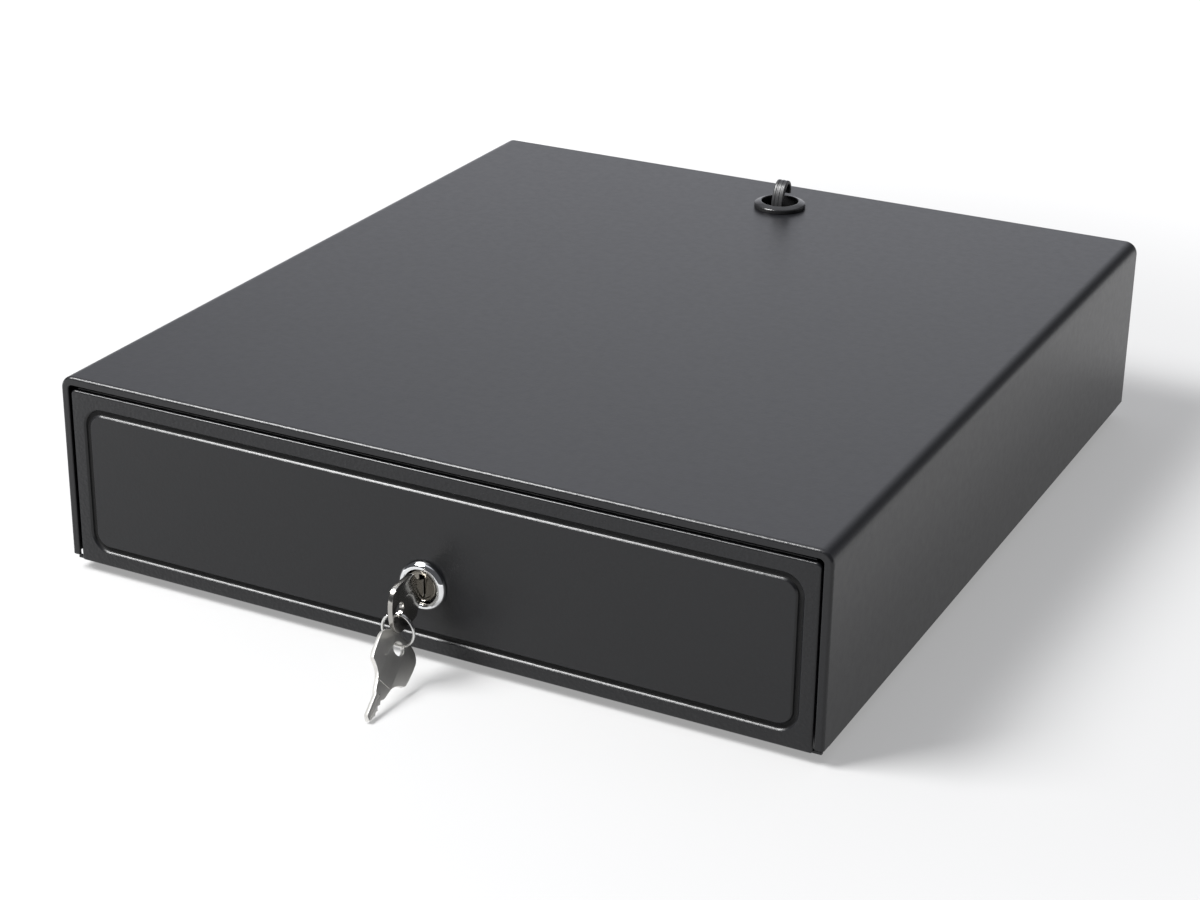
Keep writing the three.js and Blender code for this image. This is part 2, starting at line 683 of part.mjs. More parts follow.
const ringTop = KEY_HOLE_Z - (KEY_HOLE_R - RING_WIRE - 0.25);
const ringCentre = ringTop - RING_R;
add(
  "key_ring",
  new THREE.TorusGeometry(RING_R, RING_WIRE, 6, 32)
    .rotateX(Math.PI / 2)
    .translate(LOCK_X, KEY_HOLE_Y, ringCentre),
  STEEL,
);
{
  const ringBottom = V3(LOCK_X, KEY_HOLE_Y, ringCentre - RING_R);
  const drop = -(ringBottom.z - 1.0) / 35.3;
  const flat = Math.sqrt(1 - drop * drop);
  const a = V3(0.182 * flat, -Math.sqrt(1 - 0.182 * 0.182) * flat, drop);
  const n0 = V3(1, 0, 0).addScaledVector(a, -a.x).normalize();
  const n = n0
    .clone()
    .multiplyScalar(Math.cos(0.487))
    .addScaledVector(a.clone().cross(n0), Math.sin(0.487))
    .normalize();
  const hole = ringBottom.clone().addScaledVector(a, 1.7);
  add("spare_key", placed(key(), hole, a, n), NICKEL);
}

// ---- latch --------------------------------------------------------------
add(
  "latch_bracket",
  cut(
    join(box(-60, 34, 322, 358.6, 5.3, 6.5), box(-60, 34, 357.6, 358.6, 5.3, 12)),
    rodZ(-50, 350, 1.8, 0, 20, 12),
    rodZ(15, 330, 4, 0, 20, 16),
  ),
  ZINC,
);
add(
  "latch_pivot_pin",
  turnedZ([[0, 6.7], [2.4, 6.7], [2.4, 20.6], [4, 20.6], [4, 21.4], [3, 22], [0, 22.1]], PIVOT.x, PIVOT.y, 20),
  STEEL,
);
add(
  "latch_spring",
  tube(new Helix(3.8, 8.4, 5, (a, b, c) => V3(PIVOT.x + a, PIVOT.y + b, 7.5 + c)), 0.5, 45, 4),
  STEEL,
);
{
  const { x, y } = PIVOT;
  const lever = [
    [x - 2.2, y + 12.6], [x - 2.6, y + 8], [x - 5, y + 3], [x - 5.2, y - 3], [x - 3.2, y - 10], [x - 3, y - 19.6],
    [x + 8.4, y - 19.6], [x + 8.4, y - 17.4], [x + 7.4, y - 16.6], [x + 2, y - 16.6], [x + 2.4, y - 10],
    [x + 5.2, y - 3], [x + 5, y + 3], [x + 2.6, y + 8], [x + 2.2, y + 12.6],
  ];
  add("latch_lever", prismZ(lever, 17.5, 20, [circle(x, y, 2.52, 24)]), STEEL);
}
add(
  "solenoid_frame",
  cut(
    join(
      box(0, 30, 342.6, 357.2, 6.8, 8),
      box(0, 1.5, 342.6, 357.2, 6.8, 23.4),
      box(28.5, 30, 342.6, 357.2, 6.8, 23.4),
    ),
    rodX(PLUNGER.y, PLUNGER.z, 4.5, -2, 4, 20),
  ),
  ZINC,
);
add(
  "solenoid_coil",
  turnedX(
    [
      [4.35, 1.8], [6.6, 1.8], [6.6, 3.2], [6.1, 3.2], [6.1, 26.6], [6.6, 26.6], [6.6, 28.2], [4.35, 28.2],
    ],
    PLUNGER.y,
    PLUNGER.z,
    24,
  ),
  COPPER_TAPE,
);
add(
  "solenoid_plunger",
  join(
    rodX(PLUNGER.y, PLUNGER.z, 4, -4, 22, 20),
    rodX(PLUNGER.y, PLUNGER.z, 1.5, -24, 0, 12),
    box(-24.2, -22.9, PLUNGER.y - 1.5, PLUNGER.y + 1.5, PLUNGER.z - 1.5, 21),
  ),
  STEEL,
);
add(
  "striker",
  join(
    box(-26, -2, BOX_BACK + 0.2, BOX_BACK + 1.4, 14, 34),
    box(-20, -8, BOX_BACK + 0.2, 330, 22.4, 23.9),
    rodZ(-14, 326, 2, 14.5, 23, 16),
  ),
  ZINC,
);

// ---- drawer-status switch -----------------------------------------------
add(
  "switch_body",
  join(box(-57, -37, 326.4, 336.6, 6.8, 13.2), box(-47.5, -44.5, 325.6, 327, 8.6, 11.4)),
  BLACK_PLASTIC,
);
{
  // Leaf lever, hinged at the left end, that the closed drawer presses.
  const leaf = [
    [-56.4, 325.5], [-55.4, 324.6], [-44, 320.2], [-38.6, 317.6], [-37.2, 317.3], [-35.8, 318.4], [-36.2, 319],
    [-37.4, 318.2], [-43.6, 321.1], [-55.0, 325.5], [-55.9, 326.0],
  ];
  add("switch_lever", prismZ(leaf, 10.6, 13.2), STEEL);
}

// ---- ejector spring -----------------------------------------------------
add(
  "ejector_spring",
  tube(new Helix(6.1, 42.4, 6, (a, b, c) => V3(60 + a, 317.6 + c, 30 + b)), 0.8, 60, 5),
  STEEL,
);

// ---- cable socket and inner wiring --------------------------------------
add(
  "cable_socket",
  cut(
    join(box(92, 109, 346, 363.4, 16, 31), box(89.6, 111.4, 359.2, 361.2, 16, 31)),
    box(95.6, 105.4, 350, 366, 18.6, 26),
    box(98, 103, 350, 366, 25, 28.6),
    box(84, 117, 355, 361.3, 5, 20.2),
  ),
  BLACK_PLASTIC,
);
{
  const route = new THREE.CatmullRomCurve3([
    V3(100, 345.4, 24), V3(100, 340, 22), V3(92, 334, 14), V3(78, 333, 9.2), V3(60, 334, 8.4), V3(45, 338, 8.8), V3(38, 345, 10.5), V3(34, 350.5, 13), V3(31.2, 351, 14.6),
  ]);
  add("wire_harness", tube(route, 1.8, 28, 6), PVC);
}

assembly.position.set(0, FRAME_Y, 0);
const cashDrawer = new THREE.Group();
cashDrawer.name = "cash_drawer";
cashDrawer.add(assembly);

export default cashDrawer;
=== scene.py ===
import bpy
import bmesh
import math
from mathutils import Matrix, Vector
from mathutils.geometry import tessellate_polygon


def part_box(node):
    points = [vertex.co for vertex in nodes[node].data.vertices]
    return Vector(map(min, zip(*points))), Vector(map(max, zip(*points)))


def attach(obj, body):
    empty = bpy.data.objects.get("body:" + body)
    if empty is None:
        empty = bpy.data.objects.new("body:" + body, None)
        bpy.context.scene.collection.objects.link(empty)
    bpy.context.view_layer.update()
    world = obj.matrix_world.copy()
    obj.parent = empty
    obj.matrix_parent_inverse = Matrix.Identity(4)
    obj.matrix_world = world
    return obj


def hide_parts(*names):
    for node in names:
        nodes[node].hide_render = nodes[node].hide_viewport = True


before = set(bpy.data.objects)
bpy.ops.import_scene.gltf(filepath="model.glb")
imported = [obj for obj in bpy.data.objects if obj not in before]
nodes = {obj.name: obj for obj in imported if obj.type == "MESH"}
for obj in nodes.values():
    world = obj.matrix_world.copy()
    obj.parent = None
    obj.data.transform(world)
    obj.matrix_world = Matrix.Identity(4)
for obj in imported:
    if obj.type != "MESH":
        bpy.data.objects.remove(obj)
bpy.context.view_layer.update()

# Design coordinates are the part's own, in millimetres: x on the centre plane, y from the cover's front rim, z from the floor.
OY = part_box("top_cover")[0].y * 1000.0
MM = 0.001


def pt(x, y, z):
    return Vector((x * MM, (y + OY) * MM, z * MM))


# ------------------------------------------------------------------ mesh tools
def finish_mesh(me, angle=38.0):
    me.validate(clean_customdata=False)
    for p in me.polygons:
        p.use_smooth = True
    me.set_sharp_from_angle(angle=math.radians(angle))
    me.update()


def make(name, verts, faces, body, mats=(), replaces=(), angle=38.0, fix=True):
    """A closed mesh piece from points in design millimetres."""
    me = bpy.data.meshes.new(name)
    me.from_pydata([pt(*v) for v in verts], [], faces)
    if fix:
        bm = bmesh.new()
        bm.from_mesh(me)
        bmesh.ops.remove_doubles(bm, verts=bm.verts, dist=1e-7)
        bmesh.ops.recalc_face_normals(bm, faces=bm.faces)
        bm.to_mesh(me)
        bm.free()
    finish_mesh(me, angle)
    ob = bpy.data.objects.new(name, me)
    bpy.context.scene.collection.objects.link(ob)
    for m in mats:
        me.materials.append(m)
    if body:
        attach(ob, body)
    if replaces:
        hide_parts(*replaces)
    return ob


def loft(rings, closed=True, cap0=True, cap1=True):
    """Vertices and faces of a skin through rings with the same number of points."""
    n = len(rings[0])
    verts = [tuple(p) for r in rings for p in r]
    faces = []
    last = n if closed else n - 1
    for k in range(len(rings) - 1):
        for i in range(last):
            j = (i + 1) % n
            faces.append((k * n + i, k * n + j, (k + 1) * n + j, (k + 1) * n + i))
    for wanted, k in ((cap0, 0), (cap1, len(rings) - 1)):
        if wanted:
            ring = [Vector(p) for p in rings[k]]
            for a, b, c in tessellate_polygon([ring]):
                tri = (k * n + a, k * n + b, k * n + c)
                faces.append(tri if k else tri[::-1])
    return verts, faces


def merge(*parts):
    verts, faces = [], []
    for v, f in parts:
        base = len(verts)
        verts += v
        faces += [tuple(i + base for i in face) for face in f]
    return verts, faces


def turned(profile, axis, centre, n=64, phase=0.0):
    """A turned solid. profile is [(radius, height)], height runs along axis from centre; a profile that starts and ends on the axis is capped by its poles, any other is closed on itself."""
    ax = {"x": 0, "y": 1, "z": 2}[axis]
    u, v = ((1, 2), (0, 2), (0, 1))[ax]
    verts, faces = [], []
    rows = []
    poles = profile[0][0] < 1e-9 and profile[-1][0] < 1e-9
    for r, h in profile:
        if r < 1e-9:
            p = [0.0, 0.0, 0.0]
            p[ax] = h + centre[ax]
            p[u], p[v] = centre[u], centre[v]
            rows.append([len(verts)])
            verts.append(tuple(p))
            continue
        row = []
        for i in range(n):
            t = 2 * math.pi * i / n + phase
            p = [0.0, 0.0, 0.0]
            p[ax] = h + centre[ax]
            p[u] = centre[u] + r * math.cos(t)
            p[v] = centre[v] + r * math.sin(t)
            row.append(len(verts))
            verts.append(tuple(p))
        rows.append(row)
    pairs = list(zip(rows, rows[1:]))
    if not poles:
        pairs.append((rows[-1], rows[0]))
    for a, b in pairs:
        for i in range(n):
            j = (i + 1) % n
            if len(a) == 1 and len(b) == 1:
                continue
            if len(a) == 1:
                faces.append((a[0], b[j], b[i]))
            elif len(b) == 1:
                faces.append((a[i], a[j], b[0]))
            else:
                faces.append((a[i], a[j], b[j], b[i]))
    return verts, faces


def arc(cx, cy, r, a0, a1, n):
    """Points of an arc in degrees, both ends included."""
    return [
        (
            cx + r * math.cos(math.radians(a0 + (a1 - a0) * i / n)),
            cy + r * math.sin(math.radians(a0 + (a1 - a0) * i / n)),
        )
        for i in range(n + 1)
    ]


def rounded(hx, z0, z1, rb, rt, e=0.0, n=10):
    """Rounded rectangle about x = 0, grown by e."""
    pts = []
    for cx, cz, r, a in (
        (hx - rt, z1 - rt, rt, 0),
        (-hx + rt, z1 - rt, rt, 90),
        (-hx + rb, z0 + rb, rb, 180),
        (hx - rb, z0 + rb, rb, 270),
    ):
        pts += arc(cx, cz, max(r + e, 0.01), a, a + 90, n)
    return pts


def box(x0, x1, y0, y1, z0, z1):
    verts = [(x, y, z) for z in (z0, z1) for y in (y0, y1) for x in (x0, x1)]
    faces = [(0, 2, 3, 1), (4, 5, 7, 6), (0, 1, 5, 4), (2, 6, 7, 3), (0, 4, 6, 2), (1, 3, 7, 5)]
    return verts, faces


def catmull(points, per=8, closed=False):
    pts = [Vector(p) for p in points]
    n = len(pts)
    out = []
    spans = n if closed else n - 1
    for i in range(spans):
        if closed:
            p0, p1, p2, p3 = pts[(i - 1) % n], pts[i], pts[(i + 1) % n], pts[(i + 2) % n]
        else:
            p1, p2 = pts[i], pts[i + 1]
            p0 = pts[i - 1] if i else p1 * 2 - p2
            p3 = pts[i + 2] if i + 2 < n else p2 * 2 - p1
        for k in range(per):
            t = k / per
            out.append(
                0.5
                * (
                    2 * p1
                    + (p2 - p0) * t
                    + (2 * p0 - 5 * p1 + 4 * p2 - p3) * t * t
                    + (3 * p1 - p0 - 3 * p2 + p3) * t * t * t
                )
            )
    if not closed:
        out.append(pts[-1])
    return out


def sweep(path, section, up=None, closed=False, round_ends=False):
    """A tube along path (Vectors, mm) with a closed section [(a, b)]; up fixes where b points."""
    n = len(path)
    tangents = []
    for i in range(n):
        a = path[(i - 1) % n] if closed else path[max(i - 1, 0)]
        b = path[(i + 1) % n] if closed else path[min(i + 1, n - 1)]
        tangents.append((b - a).normalized())
    t0 = tangents[0]
    ref = Vector(up) if up else (Vector((0, 0, 1)) if abs(t0.z) < 0.9 else Vector((1, 0, 0)))
    nrm = (ref - t0 * ref.dot(t0)).normalized()
    rings = []
    for i, t in enumerate(tangents):
        nrm = ((Vector(up) if up else nrm) - t * (Vector(up) if up else nrm).dot(t)).normalized()
        side = t.cross(nrm)
        rings.append([(path[i], side, nrm, t)])
    out = []
    scales = [1.0] * n
    shift = [0.0] * n
    rows = [(r[0][0], r[0][1], r[0][2], r[0][3], s, d) for r, s, d in zip(rings, scales, shift)]
    if round_ends and not closed:
        reach = max(math.hypot(a, b) for a, b in section)
        steps = (0.98, 0.87, 0.64, 0.34, 0.08)
        head = [
            (rows[0][0], rows[0][1], rows[0][2], rows[0][3], math.sqrt(max(0, 1 - k * k)), -k * reach)
            for k in steps
        ]
        tail = [
            (rows[-1][0], rows[-1][1], rows[-1][2], rows[-1][3], math.sqrt(max(0, 1 - k * k)), k * reach)
            for k in reversed(steps)
        ]
        rows = head + rows + tail
    for p, side, up_, t, s, d in rows:
        out.append([tuple(p + side * (a * s) + up_ * (b * s) + t * d) for a, b in section])
    if closed:
        verts, faces = loft(out, cap0=False, cap1=False)
        m = len(section)
        last = (len(out) - 1) * m
        for i in range(m):
            j = (i + 1) % m
            faces.append((last + i, last + j, j, i))
        return verts, faces
    return loft(out)


def ring_section(r, n=12):
    return [(r * math.cos(2 * math.pi * i / n), r * math.sin(2 * math.pi * i / n)) for i in range(n)]


def raw_object(name, verts, faces):
    me = bpy.data.meshes.new(name)
    me.from_pydata([pt(*v) for v in verts], [], faces)
    bm = bmesh.new()
    bm.from_mesh(me)
    bmesh.ops.remove_doubles(bm, verts=bm.verts, dist=1e-7)
    bmesh.ops.recalc_face_normals(bm, faces=bm.faces)
    bm.to_mesh(me)
    bm.free()
    ob = bpy.data.objects.new(name, me)
    bpy.context.scene.collection.objects.link(ob)
    return ob


def carve(ob, tools, bevel=None, angle=38.0):
    """Applies booleans [(operation, verts, faces)] and an optional bevel to ob, leaving a plain mesh."""
    helpers = []
    for i, (operation, (verts, faces)) in enumerate(tools):
        h = raw_object(f"{ob.name}_tool_{i}", verts, faces)
        helpers.append(h)
        m = ob.modifiers.new(f"cut_{i}", "BOOLEAN")
        m.operation = operation
        m.solver = "EXACT"
        m.object = h
    if bevel:
        m = ob.modifiers.new("edge", "BEVEL")
        m.width = bevel * MM
        m.segments = 3
        m.limit_method = "ANGLE"
        m.angle_limit = math.radians(40)
    dg = bpy.context.evaluated_depsgraph_get()
    dg.update()
    made = bpy.data.meshes.new_from_object(ob.evaluated_get(dg), depsgraph=dg)
    ob.modifiers.clear()
    old = ob.data
    ob.data = made
    bpy.data.meshes.remove(old)
    for h in helpers:
        data = h.data
        bpy.data.objects.remove(h)
        bpy.data.meshes.remove(data)
    finish_mesh(ob.data, angle)
    return ob


def dress(ob, body, mats=(), replaces=()):
    ob.data.materials.clear()
    for m in mats:
        ob.data.materials.append(m)
    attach(ob, body)
    if replaces:
        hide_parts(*replaces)
    return ob


# ------------------------------------------------------------------ materials
class Mat:
    """A node material being built."""

    def __init__(self, name, color, rough, metal=0.0, ior=1.5, spec=0.5, coat=0.0, coat_rough=0.1):
        self.m = bpy.data.materials.new(name)
        self.m.use_nodes = True
        self.t = self.m.node_tree
        self.t.nodes.clear()
        self.out = self.t.nodes.new("ShaderNodeOutputMaterial")
        self.b = self.t.nodes.new("ShaderNodeBsdfPrincipled")
        self.t.links.new(self.b.outputs["BSDF"], self.out.inputs["Surface"])
        self.b.inputs["Base Color"].default_value = (*color, 1.0)
        self.b.inputs["Roughness"].default_value = rough
        self.b.inputs["Metallic"].default_value = metal
        self.b.inputs["IOR"].default_value = ior
        self.b.inputs["Specular IOR Level"].default_value = spec
        self.b.inputs["Coat Weight"].default_value = coat
        self.b.inputs["Coat Roughness"].default_value = coat_rough
        self.m.diffuse_color = (*color, 1.0)
        self._coord = None
        self._bump = None

    def coord(self):
        if self._coord is None:
            self._coord = self.t.nodes.new("ShaderNodeTexCoord")
        return self._coord.outputs["Object"]

    def scaled(self, scale, offset=(0, 0, 0)):
        n = self.t.nodes.new("ShaderNodeMapping")
        n.inputs["Scale"].default_value = scale
        n.inputs["Location"].default_value = offset
        self.t.links.new(self.coord(), n.inputs["Vector"])
        return n.outputs["Vector"]

    def noise(self, scale, detail=3.0, rough=0.55, vector=None, distortion=0.0):
        n = self.t.nodes.new("ShaderNodeTexNoise")
        n.inputs["Scale"].default_value = scale
        n.inputs["Detail"].default_value = detail
        n.inputs["Roughness"].default_value = rough
        n.inputs["Distortion"].default_value = distortion
        self.t.links.new(vector or self.coord(), n.inputs["Vector"])
        return n.outputs["Fac"]

    def voronoi(self, scale, feature="F1", vector=None, randomness=1.0):
        n = self.t.nodes.new("ShaderNodeTexVoronoi")
        n.feature = feature
        n.inputs["Scale"].default_value = scale
        n.inputs["Randomness"].default_value = randomness
        self.t.links.new(vector or self.coord(), n.inputs["Vector"])
        return n.outputs["Distance"]

    def cells(self, scale, vector=None):
        n = self.t.nodes.new("ShaderNodeTexVoronoi")
        n.inputs["Scale"].default_value = scale
        self.t.links.new(vector or self.coord(), n.inputs["Vector"])
        return n.outputs["Color"]

    def ramp(self, fac, stops):
        n = self.t.nodes.new("ShaderNodeValToRGB")
        self.t.links.new(fac, n.inputs["Fac"])
        e = n.color_ramp.elements
        while len(e) < len(stops):
            e.new(0.5)
        for el, (p, c) in zip(e, stops):
            el.position = p
            el.color = (c, c, c, 1) if isinstance(c, (int, float)) else (*c, 1)
        return n.outputs["Color"]

    def math(self, op, a, b=None, c=None, clamp=False):
        n = self.t.nodes.new("ShaderNodeMath")
        n.operation = op
        n.use_clamp = clamp
        for i, v in enumerate((a, b, c)):
            if v is None:
                continue
            if isinstance(v, (int, float)):
                n.inputs[i].default_value = v
            else:
                self.t.links.new(v, n.inputs[i])
        return n.outputs[0]

    def mix(self, fac, a, b):
        n = self.t.nodes.new("ShaderNodeMix")
        n.data_type = "RGBA"
        for key, v in (("Factor", fac), ("A", a), ("B", b)):
            socket = next(s for s in n.inputs if s.name == key and (s.type == ("VALUE" if key == "Factor" else "RGBA")))
            if isinstance(v, (int, float)):
                socket.default_value = v if key == "Factor" else (v, v, v, 1)
            elif isinstance(v, tuple):
                socket.default_value = (*v, 1)
            else:
                self.t.links.new(v, socket)
        return next(s for s in n.outputs if s.type == "RGBA")

    def separate(self):
        n = self.t.nodes.new("ShaderNodeSeparateXYZ")
        self.t.links.new(self.coord(), n.inputs[0])
        return n.outputs

    def color(self, socket):
        self.t.links.new(socket, self.b.inputs["Base Color"])

    def rough(self, socket):
        self.t.links.new(socket, self.b.inputs["Roughness"])

    def bump(self, height, distance, strength=1.0):
        n = self.t.nodes.new("ShaderNodeBump")
        if isinstance(strength, (int, float)):
            n.inputs["Strength"].default_value = strength
        else:
            self.t.links.new(strength, n.inputs["Strength"])
        n.inputs["Distance"].default_value = distance
        self.t.links.new(height, n.inputs["Height"])
        if self._bump is not None:
            self.t.links.new(self._bump.outputs["Normal"], n.inputs["Normal"])
        self._bump = n
        self.t.links.new(n.outputs["Normal"], self.b.inputs["Normal"])


def powder(name, base, rough, peel, grain, grain_scale=1100.0, ior=1.5, rim=False, panel=False):
    """Powder coat: orange peel, a fine pebble grain, slightly uneven tone and gloss."""
    m = Mat(name, base, rough, ior=ior)
    broad = m.noise(9.0, 2.0, 0.5)
    tone = m.ramp(broad, [(0.3, tuple(c * 0.93 for c in base)), (0.7, tuple(c * 1.07 for c in base))])
    speck = m.noise(grain_scale * 1.4, 2.0, 0.6)
    light = m.ramp(speck, [(0.52, 0.0), (0.74, 1.0)])
    col = m.mix(m.math("MULTIPLY", light, 0.16), tone, tuple(min(1, c * 2.4) for c in base))
    m.color(col)
    m.rough(m.math("ADD", m.math("MULTIPLY", m.noise(260.0, 3.0), 0.10), rough - 0.05))
    mask = 1.0
    x, y, z = m.separate()
    if rim:
        # the folded front rim carries a heavier grain than the flat sheet behind it
        front = (OY + 1.7) * MM
        mask = m.math("ADD", m.math("MULTIPLY", m.math("LESS_THAN", y, front), rim), 1.0)
    if panel:
        # inside the embossed groove the sheet is smoother than the border
        inside = m.math(
            "MULTIPLY",
            m.math("LESS_THAN", m.math("ABSOLUTE", x), 153.3 * MM),
            m.math("LESS_THAN", m.math("ABSOLUTE", m.math("SUBTRACT", z, 41.8 * MM)), 30.0 * MM),
        )
        lip = m.math("MULTIPLY", m.math("GREATER_THAN", y, (OY + 0.41) * MM), m.math("LESS_THAN", y, (OY + 1.3) * MM))
        mask = m.math("SUBTRACT", 1.0, m.math("MULTIPLY", m.math("MAXIMUM", inside, lip), 1.0 - panel))
    if panel:
        # painted shade: the walls and bottom of the narrow groove are coloured near-black and made rougher
        groove_painted_shade = m.math("MULTIPLY", m.math("GREATER_THAN", y, (OY + 1.06) * MM), m.math("LESS_THAN", y, (OY + 3.0) * MM))
        ring_x = m.math("LESS_THAN", m.math("ABSOLUTE", x), 155.2 * MM)
        ring_z = m.math("LESS_THAN", m.math("ABSOLUTE", m.math("SUBTRACT", z, 41.8 * MM)), 31.9 * MM)
        groove_painted_shade = m.math("MULTIPLY", groove_painted_shade, m.math("MULTIPLY", ring_x, ring_z))
        # painted shade: the groove colour is mixed towards near-black
        m.color(m.mix(groove_painted_shade, col, (0.0012, 0.0012, 0.0014)))
        m.rough(m.math("ADD", m.math("MULTIPLY", m.noise(260.0, 3.0), 0.10), m.math("ADD", m.math("MULTIPLY", groove_painted_shade, 0.45), rough - 0.05)))
    m.bump(m.noise(240.0, 1.0, 0.4), 0.00012, peel)
    pebble = m.math(
        "ADD",
        m.math("MULTIPLY", m.noise(grain_scale, 3.0, 0.62), 0.7),
        m.math("MULTIPLY", m.voronoi(grain_scale * 0.9), 0.5),
    )
    m.bump(pebble, 0.00024 if panel else 0.00016, m.math("MULTIPLY", mask, grain) if not isinstance(mask, float) else grain)
    return m.m


def brushed(name, color, rough, metal=1.0, along="z", lines=900.0, strength=0.25, stain=0.12):
    m = Mat(name, color, rough, metal)
    s = {"x": (18.0, lines, lines), "y": (lines, 18.0, lines), "z": (lines, lines, 18.0)}[along]
    grain = m.noise(1.0, 3.0, 0.6, vector=m.scaled(s))
    m.rough(m.math("ADD", m.math("MULTIPLY", grain, 0.16), rough - 0.06))
    tint = m.ramp(m.noise(60.0, 4.0), [(0.35, tuple(c * (1 - stain) for c in color)), (0.65, color)])
    m.color(tint)
    m.bump(grain, 0.00003, strength)
    return m.m


def zinc(name):
    """Galvanised sheet: soft spangle, light streaks."""
    base = (0.56, 0.57, 0.575)
    m = Mat(name, base, 0.36, 0.92)
    cell = m.cells(95.0)
    g = m.t.nodes.new("ShaderNodeRGBToBW")
    m.t.links.new(cell, g.inputs[0])
    f = m.math("ADD", m.math("MULTIPLY", g.outputs[0], 0.5), m.math("MULTIPLY", m.noise(420.0, 3.0), 0.5))
    m.color(m.ramp(f, [(0.2, (0.44, 0.45, 0.46)), (0.8, (0.66, 0.67, 0.675))]))
    m.rough(m.math("ADD", m.math("MULTIPLY", f, 0.2), 0.26))
    m.bump(m.noise(700.0, 3.0), 0.00004, 0.25)
    return m.m


def moulded(name, base, rough, grain=0.18, scale=1500.0, ior=1.48):
    """Injection-moulded plastic with a spark-eroded grain."""
    m = Mat(name, base, rough, ior=ior)
    m.color(m.ramp(m.noise(25.0, 3.0), [(0.35, tuple(c * 0.9 for c in base)), (0.65, tuple(min(1, c * 1.1) for c in base))]))
    m.rough(m.math("ADD", m.math("MULTIPLY", m.noise(500.0, 2.0), 0.12), rough - 0.06))
    m.bump(m.noise(scale, 3.0, 0.6), 0.00006, grain)
    return m.m


def plated(name, color, rough, bump=0.05):
    """Bright plating with faint handling haze."""
    m = Mat(name, color, rough, 1.0)
    haze = m.noise(330.0, 4.0)
    m.rough(m.math("ADD", m.math("MULTIPLY", haze, 0.06), rough - 0.02))
    m.color(m.ramp(m.noise(150.0, 3.0), [(0.3, tuple(c * 0.93 for c in color)), (0.7, color)]))
    m.bump(m.noise(900.0, 2.0), 0.00002, bump)
    return m.m


COAT = powder("powder_coat", (0.0065, 0.0067, 0.0077), 0.34, 0.05, 0.12, grain_scale=800.0, ior=1.42, rim=4.0)
COAT_FRONT = powder("powder_coat_front", (0.0056, 0.0058, 0.0068), 0.31, 0.10, 1.0, grain_scale=700.0, ior=1.42, panel=0.22)
COAT_BASE = powder("powder_coat_base", (0.0075, 0.0078, 0.0087), 0.40, 0.05, 0.25, ior=1.43)
ZINC = zinc("zinc_plate")
STEEL = brushed("steel", (0.60, 0.60, 0.60), 0.26, along="z")
STEEL_TURNED = brushed("steel_turned", (0.62, 0.62, 0.615), 0.22, along="x", lines=1400.0)
SPRING = brushed("spring_steel", (0.42, 0.42, 0.43), 0.28, along="x", lines=500.0, strength=0.1)
CHROME = plated("chrome", (0.78, 0.79, 0.80), 0.07, 0.02)
RING_WIRE = plated("ring_wire", (0.72, 0.72, 0.71), 0.10, 0.02)
NICKEL = plated("nickel", (0.80, 0.79, 0.76), 0.44, 0.05)
# the key in the lock: polished nickel with its colour halved; the lower roughness is the polish, the darker colour is
# painted shade
NICKEL_POLISHED_SHADED = plated("nickel_polished_painted_shade", (0.40, 0.39, 0.37), 0.17, 0.05)
RUBBER = moulded("rubber", (0.012, 0.012, 0.012), 0.78, 0.3, 1200.0)
BLACK = moulded("black_plastic", (0.012, 0.012, 0.0125), 0.22, 0.04)
HOOK = moulded("hook_plastic", (0.020, 0.020, 0.021), 0.40, 0.12)
TRAY = moulded("tray_plastic", (0.030, 0.031, 0.033), 0.42, 0.30, 1300.0)
CLIP = moulded("clip_plastic", (0.022, 0.022, 0.023), 0.34, 0.15)
ACETAL = moulded("roller_plastic", (0.62, 0.61, 0.57), 0.32, 0.05)
TAPE = moulded("coil_tape", (0.52, 0.34, 0.07), 0.36, 0.05, 400.0)
PVC = moulded("cable_pvc", (0.016, 0.016, 0.017), 0.45, 0.1)
CONTACT = plated("contact_gold", (0.80, 0.58, 0.24), 0.18)

# ------------------------------------------------------------------ CAD nodes that stay
group = bpy.data.node_groups.new("shade_by_angle", "GeometryNodeTree")
group.interface.new_socket(name="Geometry", in_out="INPUT", socket_type="NodeSocketGeometry")
group.interface.new_socket(name="Geometry", in_out="OUTPUT", socket_type="NodeSocketGeometry")
g_in = group.nodes.new("NodeGroupInput")
g_out = group.nodes.new("NodeGroupOutput")
g_face = group.nodes.new("GeometryNodeSetShadeSmooth")
g_face.domain = "FACE"
g_edge = group.nodes.new("GeometryNodeSetShadeSmooth")
g_edge.domain = "EDGE"
g_angle = group.nodes.new("GeometryNodeInputMeshEdgeAngle")
g_less = group.nodes.new("FunctionNodeCompare")
g_less.data_type = "FLOAT"
g_less.operation = "LESS_THAN"
g_less.inputs["B"].default_value = math.radians(32)
group.links.new(g_angle.outputs["Unsigned Angle"], g_less.inputs["A"])
group.links.new(g_in.outputs[0], g_face.inputs["Geometry"])
group.links.new(g_face.outputs[0], g_edge.inputs["Geometry"])
group.links.new(g_less.outputs[0], g_edge.inputs["Shade Smooth"])
group.links.new(g_edge.outputs[0], g_out.inputs[0])


def keep(node, material, bevel=0.25, segments=2, angle=32.0):
    """A CAD node that stays as it is, with softened edges and its finish."""
    ob = nodes[node]
    ob.data.materials.clear()
    ob.data.materials.append(material)
    w = ob.modifiers.new("weld", "WELD")
    w.merge_threshold = 2e-6
    if bevel:
        b = ob.modifiers.new("edge", "BEVEL")
        b.width = bevel * MM
        b.segments = segments
        b.limit_method = "ANGLE"
        b.angle_limit = math.radians(angle)
        b.use_clamp_overlap = True
    s = ob.modifiers.new("shade", "NODES")
    s.node_group = group


